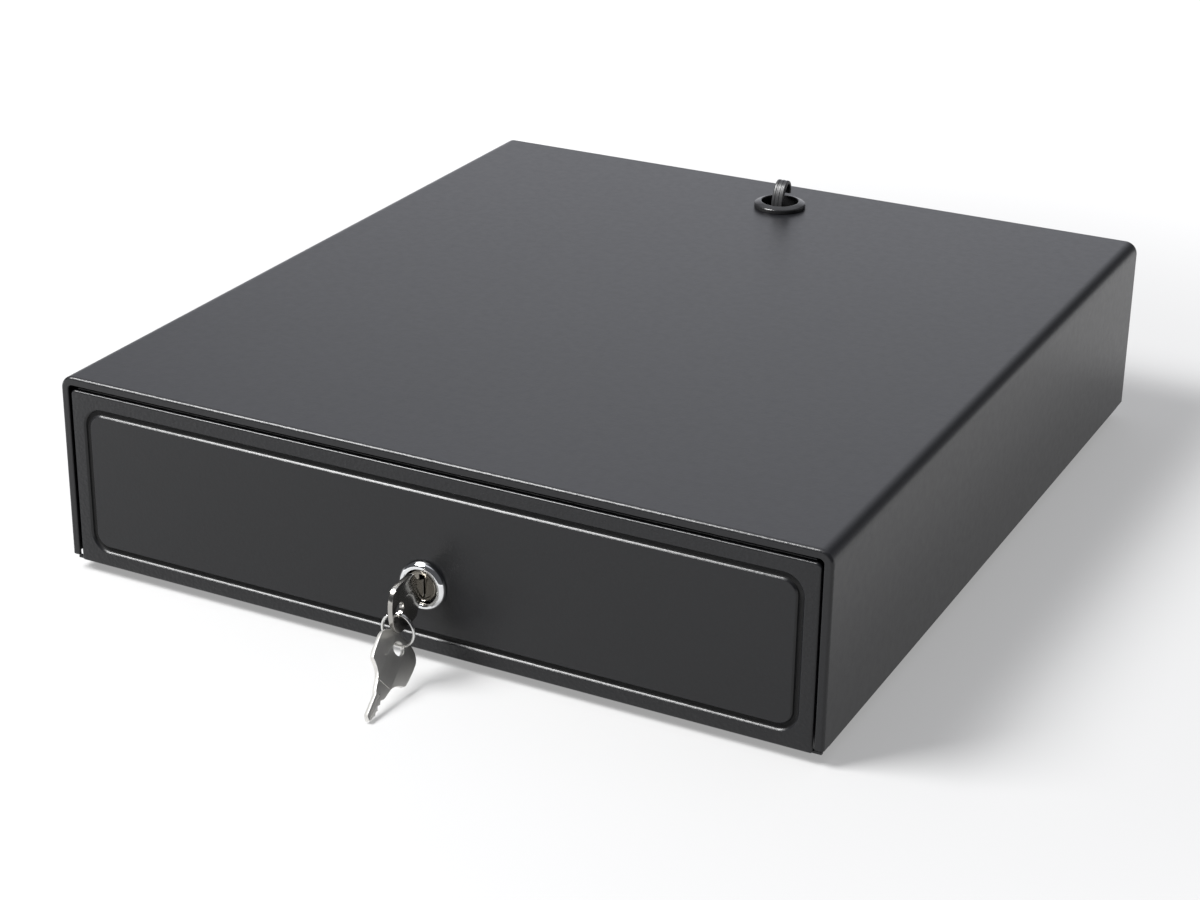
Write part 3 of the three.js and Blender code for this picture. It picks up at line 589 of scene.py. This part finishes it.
for n_, mat_, bev_ in (
    ("base_pan", COAT_BASE, 0.18), ("rear_panel", COAT, 0.2), ("drawer_box", ZINC, 0.18),
    ("case_rail_left", ZINC, 0.2), ("case_rail_right", ZINC, 0.2),
    ("drawer_rail_left", ZINC, 0.2), ("drawer_rail_right", ZINC, 0.2),
    ("front_axle_left", STEEL, 0.12), ("front_axle_right", STEEL, 0.12),
    ("rear_axle_left", STEEL, 0.12), ("rear_axle_right", STEEL, 0.12),
    ("lock_nut", ZINC, 0.3), ("lock_catch", ZINC, 0.2), ("lock_cam", ZINC, 0.2), ("cam_screw", STEEL, 0.15),
    ("latch_bracket", ZINC, 0.2), ("latch_pivot_pin", STEEL, 0.15), ("latch_lever", STEEL, 0.2),
    ("solenoid_frame", ZINC, 0.2), ("solenoid_coil", TAPE, 0.2), ("solenoid_plunger", STEEL_TURNED, 0.25),
    ("striker", ZINC, 0.2), ("switch_body", BLACK, 0.35), ("switch_lever", STEEL, 0.1),
    ("cable_socket", BLACK, 0.3), ("wire_harness", PVC, 0),
    ("till_tray", TRAY, 0.7), ("coin_tray", TRAY, 0.7), ("clip_axle", STEEL_TURNED, 0.3),
    ("front_roller_left", ACETAL, 0.25), ("front_roller_right", ACETAL, 0.25),
    ("rear_roller_left", ACETAL, 0.25), ("rear_roller_right", ACETAL, 0.25),
    ("note_clip_1", CLIP, 0.45), ("note_clip_2", CLIP, 0.45), ("note_clip_3", CLIP, 0.45), ("note_clip_4", CLIP, 0.45),
):
    keep(n_, mat_, bev_)

# ------------------------------------------------------------------ cover
HALF_W, DEPTH, TOP_Z, BEND_R, RIM, SHEET, COVER_BOTTOM = 165.0, 364.0, 85.0, 5.5, 3.5, 1.0, 6.5
GROMMET_X, GROMMET_Y = 1.2, 332.0


def cover():
    path = [(-HALF_W, COVER_BOTTOM, 1.0, 0.0), (-HALF_W, COVER_BOTTOM + 0.8, 1.0, 0.0)]
    path += [(-HALF_W, TOP_Z - BEND_R - 0.8, 1.0, 0.0)]
    seg = 20
    for i in range(seg + 1):
        t = math.pi - math.pi / 2 * i / seg
        path.append((-HALF_W + BEND_R + BEND_R * math.cos(t), TOP_Z - BEND_R + BEND_R * math.sin(t), -math.cos(t), -math.sin(t)))
    path += [(-HALF_W + BEND_R + 0.8, TOP_Z, 0.0, -1.0), (HALF_W - BEND_R - 0.8, TOP_Z, 0.0, -1.0)]
    for i in range(seg + 1):
        t = math.pi / 2 - math.pi / 2 * i / seg
        path.append((HALF_W - BEND_R + BEND_R * math.cos(t), TOP_Z - BEND_R + BEND_R * math.sin(t), -math.cos(t), -math.sin(t)))
    path += [(HALF_W, TOP_Z - BEND_R - 0.8, -1.0, 0.0), (HALF_W, COVER_BOTTOM + 0.8, -1.0, 0.0), (HALF_W, COVER_BOTTOM, -1.0, 0.0)]
    r = 1.35
    section = [(0.2, DEPTH), (0.0, DEPTH - 0.2), (0.0, DEPTH - 0.8), (0.0, r + 0.7)]
    section += [(r - r * math.cos(a), r - r * math.sin(a)) for a in [math.pi / 2 * i / 10 for i in range(11)]]
    section += [(r + 0.3, 0.0), (RIM - 0.75, 0.0)]
    section += [(RIM - 0.45 + 0.45 * math.sin(a), 0.45 - 0.45 * math.cos(a)) for a in [math.pi / 2 * i / 5 for i in range(6)]]
    section += [(RIM, 1.15), (RIM - 0.15, 1.3), (SHEET + 0.4, 1.3), (SHEET, 1.7), (SHEET, DEPTH - 0.2), (SHEET - 0.2, DEPTH)]
    rings = [[(x + nx * u, y, z + nz * u) for u, y in section] for x, z, nx, nz in path]
    ob = raw_object("cover_shell", *loft(rings))
    tools = [("UNION", box(s * 159.25 - 5.25, s * 159.25 + 5.25, 358.8, 359.9, 14, 78)) for s in (-1, 1)]
    tools.append(("DIFFERENCE", turned([(0, 70), (10.1, 70), (10.1, 95), (0, 95)], "z", (GROMMET_X, GROMMET_Y, 0), 96)))
    for s in (-1, 1):
        for z in (16.5, 68):
            tools.append(("DIFFERENCE", turned([(0, 355), (1.7, 355), (1.7, 362), (0, 362)], "y", (s * 159, 0, z), 24)))
    carve(ob, tools, angle=30)
    return dress(ob, "case", [COAT], ["top_cover"])


cover()

# ------------------------------------------------------------------ drawer front
FRONT_HALF_W, FRONT_Y, FRONT_TOP, FRONT_BOTTOM = 160.6, 0.4, 79.5, 4.3
GX, GZ0, GZ1, GR, GW, GD = 153.3, 11.8, 71.8, 7.0, 1.0, 0.9
LOCK_X, LOCK_Z = 1.5, 32.8


def plate_ring(e, y, n=12):
    return [(x, y, z) for x, z in rounded(FRONT_HALF_W, FRONT_BOTTOM, FRONT_TOP, 0.95, 2.2, e, n)]


def groove_ring(e, y, n=12):
    return [(x, y, z) for x, z in rounded(GX, GZ0, GZ1, GR, GR, e, n)]


def circle_like(ring, r, y):
    """A circle about the lock whose points face those of ring."""
    out = []
    for x, _, z in ring:
        t = math.atan2(z - LOCK_Z, (x - LOCK_X) / 3.0)
        out.append((LOCK_X + r * math.cos(t), y, LOCK_Z + r * math.sin(t)))
    return out


def drawer_front():
    r = 0.9
    outer = [plate_ring(-r * (1 - math.sin(a)), FRONT_Y + r * (1 - math.cos(a))) for a in [math.pi / 2 * i / 8 for i in range(9)]]
    # outer[0] is the face edge (inset by r), outer[-1] the side
    face_edge = outer[0]
    back_edge = plate_ring(-0.0, 9.0)
    groove = []
    wall = [(0.98, 0.0), (0.72, 0.0), (0.64, 0.04), (0.08, 0.60), (0.0, 0.70), (-0.06, 0.85), (-0.14, 1.08), (-0.24, 1.18), (-0.45, 1.2)]
    profile = [(GW + e, d) for e, d in wall] + [(0.0, 1.22)] + [(-GW - e, d) for e, d in wall[::-1]]
    for e, d in profile:
        groove.append(groove_ring(e, FRONT_Y + d))
    hole = circle_like(groove[-1], 8.3, FRONT_Y)
    t = 1.1  # sheet
    hole_back = circle_like(groove[-1], 8.3, FRONT_Y + t)
    back = [groove_ring(e, FRONT_Y + t + d) for e, d in ((-GW - 1.3, 0.0), (-GW - 0.9, 0.3), (-GW - 0.6, 1.1), (GW + 0.6, 1.1), (GW + 0.9, 0.3), (GW + 1.3, 0.0))]
    inner_face = plate_ring(-1.9, FRONT_Y + t)
    inner_side = [plate_ring(-1.2, FRONT_Y + t + 0.6), plate_ring(-1.2, 9.0)]
    rings = [back_edge] + outer[::-1] + groove + [hole, hole_back] + back + [inner_face] + inner_side
    verts, faces = loft(rings, cap0=False, cap1=False)
    n = len(rings[0])
    last = (len(rings) - 1) * n
    for i in range(n):
        j = (i + 1) % n
        faces.append((last + i, last + j, j, i))
    ob = raw_object("drawer_front_panel", verts, faces)
    # the bottom flange is cut away, and a low upstand runs along the top flange behind the face
    tools = [("DIFFERENCE", box(-170, 170, 1.9, 20, 0, 5.4))]
    lip = [(2.2, FRONT_TOP - 0.9), (2.2, FRONT_TOP + 0.35)] + [(y, z) for y, z in arc(2.75, FRONT_TOP + 0.35, 0.55, 180, 90, 5)] + [(3.4, FRONT_TOP + 0.9), (3.4, FRONT_TOP - 0.9)]
    rows = [[(x, y, z) for y, z in lip] for x in (-FRONT_HALF_W + 2.6, FRONT_HALF_W - 2.6)]
    tools.append(("UNION", loft(rows)))
    carve(ob, tools, angle=30)
    return dress(ob, "drawer", [COAT_FRONT], ["drawer_front"])


drawer_front()

# ------------------------------------------------------------------ lock
def lock():
    body = [
        (6.95, 22.0), (6.95, -0.9), (7.05, -1.25), (7.12, -2.0), (7.3, -2.45), (7.65, -2.70), (8.0, -2.75), (8.45, -2.75), (8.75, -2.62),
        (9.55, -1.75), (9.80, -1.30), (9.90, -0.85), (9.9, 0.05), (9.8, 0.15), (8.0, 0.15), (8.0, 22.0),
    ]
    v, f = turned(body, "y", (LOCK_X, 0, LOCK_Z), 128)
    make("lock_bezel", v, f, "drawer", [CHROME], ["lock_body"], angle=28)
    n = 96
    slot_n = []
    for i in range(n):  # keyway outline, an upright slot
        t = 2 * math.pi * (i + 0.5) / n
        c, s = math.cos(t), math.sin(t)
        k = min(1.25 / max(abs(c), 1e-6), 4.6 / max(abs(s), 1e-6))
        slot_n.append((k * c, k * s))

    def circ(r, y):
        return [(LOCK_X + r * math.cos(2 * math.pi * (i + 0.5) / n), y, LOCK_Z + r * math.sin(2 * math.pi * (i + 0.5) / n)) for i in range(n)]

    def slot(k, y):
        return [(LOCK_X + a * k, y, LOCK_Z + b * k) for a, b in slot_n]

    rings = [
        circ(3.4, 26.2), circ(3.4, 23.0), circ(6.5, 23.0), circ(6.5, -0.7), circ(6.35, -1.05), circ(6.05, -1.45), circ(5.8, -1.6), circ(5.25, -1.6),
        circ(5.05, -1.5), circ(4.85, -0.95), circ(4.75, -0.9), slot(1.05, -0.9), slot(1.0, -0.8), slot(1.0, 19.0),
    ]
    verts, faces = loft(rings)
    ob = raw_object("lock_core_plug", verts, faces)
    tools = [
        ("DIFFERENCE", turned([(0, 21), (1.5, 21), (1.5, 28), (0, 28)], "y", (LOCK_X, 0, LOCK_Z), 32)),
        ("DIFFERENCE", box(LOCK_X - 6, LOCK_X - 2.6, 23.2, 28, LOCK_Z - 6, LOCK_Z + 6)),
        ("DIFFERENCE", box(LOCK_X + 2.6, LOCK_X + 6, 23.2, 28, LOCK_Z - 6, LOCK_Z + 6)),
    ]
    carve(ob, tools, angle=28)
    dress(ob, "lock_core", [PLUG], ["lock_plug"])


PLUG = plated("plug_face", (0.22, 0.205, 0.18), 0.17, 0.08)
lock()

# ------------------------------------------------------------------ keys and split ring
BITTING = [(22.8, 1.8), (23.6, 1.2), (25.0, 1.8), (26.3, 0.9), (27.8, 1.7), (29.0, 1.1), (30.4, 1.6), (31.6, 0.9), (32.8, 0.7), (33.5, 0.25), (33.6, 0.1)]
BOW_SIDE = [
    (-5.4, 0.9), (-5.35, 2.2), (-5.2, 3.6), (-4.9, 5.0), (-4.4, 6.4), (-3.7, 7.6), (-2.8, 8.65), (-1.8, 9.35), (-0.7, 9.8), (0.6, 9.98), (3.5, 10.0),
    (7.5, 9.8), (10.4, 9.42), (10.9, 9.25), (11.3, 8.9), (11.65, 8.3), (12.0, 7.6), (12.5, 6.85), (13.0, 6.15), (13.7, 5.45), (14.4, 4.85), (15.2, 4.35),
    (16.2, 3.85), (17.4, 3.5), (20.8, 2.8),
]
KEY_OUT = [(u_, -v_) for u_, v_ in BOW_SIDE] + [(21.5, -2.5), (22.0, -2.2), (22.6, -1.9), (32.2, -1.9), (33.0, -1.3), (33.5, -0.7), (33.6, -0.5)]
KEY_OUT += BITTING[::-1] + [(22.2, 2.3), (21.6, 2.55)] + BOW_SIDE[::-1]
KEY_T, KEY_HOLE_R, KEY_HOLE_Y = 1.0, 2.8, -18.6
KEY_HOLE_Z, KEY_DROOP = LOCK_Z - 1.8, math.radians(5.5)
RING_R, RING_WIRE_R = 6.7, 0.55


def key_mesh(name):
    """A flat key blank in its own plane: u to the tip, v across, w through. Edges are eased."""
    curve = bpy.data.curves.new(name + "_outline", "CURVE")
    curve.dimensions = "2D"
    curve.fill_mode = "BOTH"
    ease = 0.16
    curve.extrude = (KEY_T - ease) * MM
    curve.bevel_depth = ease * MM
    curve.bevel_resolution = 2
    curve.offset = -ease * MM
    for pts in (KEY_OUT, [(KEY_HOLE_R * math.cos(-2 * math.pi * i / 40), KEY_HOLE_R * math.sin(-2 * math.pi * i / 40)) for i in range(40)]):
        s = curve.splines.new("POLY")
        s.points.add(len(pts) - 1)
        for p, (u, v) in zip(s.points, pts):
            p.co = (u * MM, v * MM, 0, 1)
        s.use_cyclic_u = True
    holder = bpy.data.objects.new(name + "_outline", curve)
    bpy.context.scene.collection.objects.link(holder)
    dg = bpy.context.evaluated_depsgraph_get()
    dg.update()
    me = bpy.data.meshes.new_from_object(holder.evaluated_get(dg), depsgraph=dg)
    bpy.data.objects.remove(holder)
    bpy.data.curves.remove(curve)
    bm = bmesh.new()
    bm.from_mesh(me)
    bmesh.ops.remove_doubles(bm, verts=bm.verts, dist=2e-6)
    bmesh.ops.recalc_face_normals(bm, faces=bm.faces)
    bm.to_mesh(me)
    bm.free()
    return me


def flat_box(u0, u1, v0, v1, w0, w1):
    verts, faces = box(u0, u1, v0, v1, w0, w1)
    return [(a, b - OY, c) for a, b, c in verts], faces  # raw_object adds the frame shift back


def key_piece(name, origin, u, w, body, node):
    ob = bpy.data.objects.new(name, key_mesh(name))
    bpy.context.scene.collection.objects.link(ob)
    cuts = []
    for s in (-1, 1):
        cuts.append(("DIFFERENCE", flat_box(16.6, 17.05, -6, 6, *sorted((s * (KEY_T - 0.22), s * (KEY_T + 1))))))
    cuts.append(("DIFFERENCE", flat_box(21.6, 32.8, -0.95, -0.15, KEY_T - 0.5, KEY_T + 1)))
    cuts.append(("DIFFERENCE", flat_box(20.6, 32.6, 0.05, 0.55, -KEY_T - 1, -KEY_T + 0.4)))
    carve(ob, cuts, angle=24)
    u, w = Vector(u).normalized(), Vector(w).normalized()
    v = w.cross(u).normalized()
    m = Matrix((u, v, w)).transposed().to_4x4()
    m.translation = pt(*origin)
    ob.data.transform(m)
    # the key in the lock gets the darker nickel copy, a painted shade
    return dress(ob, body, [NICKEL_POLISHED_SHADED if node == "key" else NICKEL], [node])


ring_top = KEY_HOLE_Z - (KEY_HOLE_R - RING_WIRE_R - 0.25)
ring_centre = ring_top - RING_R
key_piece("key_in_lock", (LOCK_X, KEY_HOLE_Y, KEY_HOLE_Z), (0, math.cos(KEY_DROOP), math.sin(KEY_DROOP)), (1, 0, 0), "key", "key")
ring_bottom = Vector((LOCK_X, KEY_HOLE_Y, ring_centre - RING_R))
drop = -(ring_bottom.z - 1.0) / 35.3
flat_part = math.sqrt(1 - drop * drop)
a_dir = Vector((0.182 * flat_part, -math.sqrt(1 - 0.182 * 0.182) * flat_part, drop))
n0 = (Vector((1, 0, 0)) - a_dir * a_dir.x).normalized()
n_dir = (n0 * math.cos(0.487) + a_dir.cross(n0) * math.sin(0.487)).normalized()
key_piece("key_spare", tuple(ring_bottom + a_dir * 1.7), a_dir, n_dir, "spare_key", "spare_key")


def split_ring():
    """Two touching turns of wire whose ends lie side by side."""
    pitch, wire = 1.02, 0.5
    pts = []
    n = 150
    for i in range(n + 1):
        s = i / n
        turn = 2.0 * s
        # the wire rises evenly over both turns, so its ends sit side by side, one pitch apart
        y = (turn - 1.0) * pitch / 2
        t = 2 * math.pi * turn + 2.3
        pts.append(Vector((LOCK_X + RING_R * math.cos(t), KEY_HOLE_Y + y, ring_centre + RING_R * math.sin(t))))
    v, f = sweep(pts, ring_section(wire, 12), round_ends=True)
    make("split_ring", v, f, "key_ring", [RING_WIRE], ["key_ring"], angle=50)


split_ring()

# ------------------------------------------------------------------ grommet and hook
def grommet():
    profile = [
        (8.65, 82.0), (8.8, 81.8), (10.75, 81.8), (10.9, 81.95), (10.9, 83.45), (10.75, 83.6), (9.75, 83.75), (9.75, 85.08),
        (11.95, 85.08), (12.1, 85.22), (12.1, 86.5), (12.06, 86.72), (11.93, 86.95), (11.72, 87.14), (11.45, 87.3), (10.2, 87.72), (9.35, 88.0),
        (9.1, 88.05), (8.85, 88.0), (8.7, 87.85), (8.65, 87.6),
    ]
    v, f = turned(profile, "z", (GROMMET_X, GROMMET_Y, 0), 128)
    make("grommet", v, f, "case", [BLACK], ["cable_grommet"], angle=40)


def hook():
    flat = [(-3.4, 80.0), (-3.35, 82.5), (-3.25, 85.0), (-2.8, 88.6), (-1.6, 92.0), (0.3, 94.9), (2.8, 96.25), (5.0, 95.4), (6.0, 93.2), (5.75, 90.5)]
    smooth = catmull([(a, b, 0) for a, b in flat], 5)
    path = [Vector((GROMMET_X, GROMMET_Y + p.x, p.y)) for p in smooth]
    half_w, half_t, r = 2.8, 1.0, 0.55
    # two shallow grooves run along the strap's outer face
    outer = [(half_t, -1.5), (half_t - 0.22, -1.25), (half_t - 0.22, -0.75), (half_t, -0.5), (half_t, 0.5), (half_t - 0.22, 0.75), (half_t - 0.22, 1.25), (half_t, 1.5)]
    section = arc(half_t - r, half_w - r, r, 0, 90, 4) + arc(-half_t + r, half_w - r, r, 90, 180, 4) + arc(-half_t + r, -half_w + r, r, 180, 270, 4) + arc(half_t - r, -half_w + r, r, 270, 360, 4) + outer
    section = [(-a, b) for a, b in section]
    v, f = sweep(path, section, up=(1, 0, 0))
    make("grommet_hook_strap", v, f, "case", [HOOK], ["grommet_hook"], angle=40)


grommet()
hook()

# ------------------------------------------------------------------ screws, feet, springs, contacts
def pan_screw(name, x, z, node):
    n = 48

    def ring(r, y):
        return [(x + r * math.cos(2 * math.pi * i / n), y, z + r * math.sin(2 * math.pi * i / n)) for i in range(n)]

    def cross(k, y):
        out = []
        for i in range(n):
            t = 2 * math.pi * i / n
            q = (t + math.pi / 4) % (math.pi / 2) - math.pi / 4  # angle from the nearest arm
            arm = min(1.7 / max(math.cos(q), 1e-6), 0.36 / max(abs(math.sin(q)), 1e-6))
            rr = max(min(arm, 1.72), 0.55)
            out.append((x + rr * k * math.cos(t), y, z + rr * k * math.sin(t)))
        return out

    rings = [ring(0.2, 355.5), ring(1.3, 356.2), ring(1.4, 356.6), ring(1.4, 362.66), ring(3.1, 362.66), ring(3.2, 362.8), ring(3.2, 363.1), ring(3.05, 363.4), ring(2.7, 363.7), ring(2.2, 363.88), ring(1.85, 363.95), cross(1.04, 363.96), cross(1.0, 363.9), cross(0.55, 362.9)]
    v, f = loft(rings)
    make(name, v, f, "case", [STEEL], [node], angle=35)


i_ = 1
for z_ in (68, 16.5):
    for s_ in (-1, 1):
        pan_screw(f"panel_screw_{i_}", s_ * 159, z_, f"rear_screw_{i_}")
        i_ += 1

for nm_, fx, fy in (("foot_front_left", -140, 32), ("foot_front_right", 140, 32), ("foot_rear_left", -140, 332), ("foot_rear_right", 140, 332)):
    v_, f_ = turned(
        [(0, 0.5), (3.6, 0.5), (4.0, 0.1), (4.3, 0.0), (6.9, 0.0), (7.35, 0.12), (7.65, 0.4), (7.8, 0.8), (7.98, 2.2), (8.16, 3.7), (8.1, 3.88), (7.9, 3.95), (0, 3.95)],
        "z", (fx, fy, 0), 56,
    )
    make(nm_ + "_pad", v_, f_, "case", [RUBBER], [nm_], angle=40)


def coil(name, radius, wire, length, turns, place, body, node, dead=0.9, steps=28):
    """A compression spring whose end turns lie flat."""
    pts = []
    n = int(turns * steps)
    for i in range(n + 1):
        s = i / n
        a = turns * s
        if a < dead:
            h = a * wire * 2.02
        elif a > turns - dead:
            h = length - (turns - a) * wire * 2.02
        else:
            h0, h1 = dead * wire * 2.02, length - dead * wire * 2.02
            h = h0 + (h1 - h0) * (a - dead) / (turns - 2 * dead)
        t = 2 * math.pi * a
        pts.append(Vector(place(radius * math.cos(t), radius * math.sin(t), h)))
    v, f = sweep(pts, ring_section(wire, 10), round_ends=True)
    make(name, v, f, body, [SPRING], [node], angle=50)


coil("latch_return_spring", 3.8, 0.45, 8.4, 5, lambda a, b, c: (-20 + a, 340 + b, 7.5 + c), "case", "latch_spring")
coil("ejector_coil", 6.1, 0.75, 42.4, 6.5, lambda a, b, c: (60 + a, 317.6 + c, 30 + b), "case", "ejector_spring")
for k_ in range(4):
    lo_, hi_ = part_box(f"note_clip_{k_ + 1}")
    xc = (lo_.x + hi_.x) / 2 * 1000
    coil(f"clip_coil_{k_ + 1}", 2.7, 0.4, 6.0, 5, lambda a, b, c, xc=xc: (xc + 13 + c, 298 + a, 36 + b), "drawer", f"clip_spring_{k_ + 1}", dead=0.6)

for k_ in range(6):
    x_ = 96.9 + 1.45 * k_
    v_, f_ = sweep(
        [Vector((x_, 350.4, 20.2)), Vector((x_, 356.0, 20.2)), Vector((x_, 359.0, 20.6)), Vector((x_, 361.0, 21.6)), Vector((x_, 361.7, 22.6))],
        [(-0.28, -0.14), (0.28, -0.14), (0.28, 0.14), (-0.28, 0.14)], up=(0, 0, 1),
    )
    make(f"socket_contact_{k_ + 1}", v_, f_, "case", [CONTACT], (), angle=30)

# ------------------------------------------------------------------ camera
cam_data = bpy.data.cameras.new("camera")
cam = bpy.data.objects.new("camera", cam_data)
bpy.context.scene.collection.objects.link(cam)
bpy.context.scene.camera = cam
cam_data.sensor_fit = "HORIZONTAL"
cam_data.sensor_width = 36.0
cam_data.lens = 76.712
cam_data.shift_x = 0.037286
cam_data.shift_y = -0.026223
cam_data.clip_start = 0.02
cam_data.clip_end = 60.0
right = Vector((0.882987, 0.469343, 0.00718)).normalized()
back = Vector((0.428579, -0.812345, 0.395494))
back = (back - right * back.dot(right)).normalized()
up_v = back.cross(right)
m_ = Matrix((right, up_v, back)).transposed().to_4x4()
m_.translation = pt(445.695, -736.632, 471.1)
cam.matrix_world = m_

# ------------------------------------------------------------------ floor and light
floor_mesh = bpy.data.meshes.new("floor")
floor_mesh.from_pydata([(-14, -14, 0), (14, -14, 0), (14, 14, 0), (-14, 14, 0)], [], [(0, 1, 2, 3)])
floor = bpy.data.objects.new("floor", floor_mesh)
bpy.context.scene.collection.objects.link(floor)
floor.location.z = -0.0002
floor_mat = Mat("floor_pale", (0.27, 0.27, 0.27), 0.9, spec=0.2)
fm = floor_mat.m
# painted light: the floor glows, and the glow brightens with distance; the weaker glow near the object is painted shade
# around it
f_len = floor_mat.t.nodes.new("ShaderNodeVectorMath")
f_len.operation = "LENGTH"
floor_mat.t.links.new(floor_mat.coord(), f_len.inputs[0])
floor_glow_ramp = floor_mat.t.nodes.new("ShaderNodeMapRange")
floor_glow_ramp.interpolation_type = "SMOOTHSTEP"
floor_glow_ramp.inputs["From Min"].default_value = 0.26
floor_glow_ramp.inputs["From Max"].default_value = 0.9
floor_glow_ramp.inputs["To Min"].default_value = 0.34
floor_glow_ramp.inputs["To Max"].default_value = 0.9
floor_mat.t.links.new(f_len.outputs["Value"], floor_glow_ramp.inputs["Value"])
floor_mat.t.links.new(floor_glow_ramp.outputs["Result"], floor_mat.b.inputs["Emission Strength"])
floor_mat.b.inputs["Emission Color"].default_value = (1, 1, 1, 1)
floor_mesh.materials.append(fm)

AMBIENT = 0.10
SKY = [
    ((-0.10, 0.30, 0.95), 0.70, 0.96, 0.90),
    ((-0.34, 0.91, 0.20), 0.84, 0.995, 0.95),
    ((0.80, 0.58, 0.16), 0.84, 0.97, 0.42),
]
KEY_LIGHT = ((-0.95, -0.84, 1.68), 0.9, 110.0, 0.9)

world = bpy.data.worlds.new("studio")
bpy.context.scene.world = world
world.use_nodes = True
wt = world.node_tree
wt.nodes.clear()
w_out = wt.nodes.new("ShaderNodeOutputWorld")
w_bg = wt.nodes.new("ShaderNodeBackground")
w_tc = wt.nodes.new("ShaderNodeTexCoord")
wt.links.new(w_bg.outputs[0], w_out.inputs[0])


def world_lobe(direction, lo, hi, strength):
    """A soft patch of sky about a direction, between two cosines."""
    d = wt.nodes.new("ShaderNodeVectorMath")
    d.operation = "DOT_PRODUCT"
    d.inputs[1].default_value = Vector(direction).normalized()
    wt.links.new(w_tc.outputs["Generated"], d.inputs[0])
    r = wt.nodes.new("ShaderNodeMapRange")
    r.interpolation_type = "SMOOTHSTEP"
    r.inputs["From Min"].default_value = lo
    r.inputs["From Max"].default_value = hi
    r.inputs["To Min"].default_value = 0.0
    r.inputs["To Max"].default_value = strength
    wt.links.new(d.outputs["Value"], r.inputs["Value"])
    return r.outputs["Result"]


total = None
for args in SKY:
    patch = world_lobe(*args)
    if total is None:
        total = patch
    else:
        add = wt.nodes.new("ShaderNodeMath")
        add.operation = "ADD"
        wt.links.new(total, add.inputs[0])
        wt.links.new(patch, add.inputs[1])
        total = add.outputs[0]
add = wt.nodes.new("ShaderNodeMath")
add.operation = "ADD"
add.inputs[1].default_value = AMBIENT
wt.links.new(total, add.inputs[0])
wt.links.new(add.outputs[0], w_bg.inputs["Strength"])
w_bg.inputs["Color"].default_value = (0.965, 0.98, 1.05, 1)


def softbox(name, loc, target, size, power, size_y=None):
    d = bpy.data.lights.new(name, "AREA")
    d.shape = "RECTANGLE"
    d.size = size
    d.size_y = size_y or size
    d.energy = power
    o = bpy.data.objects.new(name, d)
    bpy.context.scene.collection.objects.link(o)
    o.location = loc
    o.rotation_mode = "QUATERNION"
    o.rotation_quaternion = (Vector(target) - Vector(loc)).to_track_quat("-Z", "Y")
    return o


softbox("key_box", KEY_LIGHT[0], (0.0, -0.05, 0.05), KEY_LIGHT[1], KEY_LIGHT[2], KEY_LIGHT[3])

bpy.context.scene.view_settings.view_transform = "Standard"
bpy.context.scene.view_settings.look = "None"
bpy.context.scene.view_settings.exposure = 0.0
bpy.context.scene.view_settings.gamma = 1.0
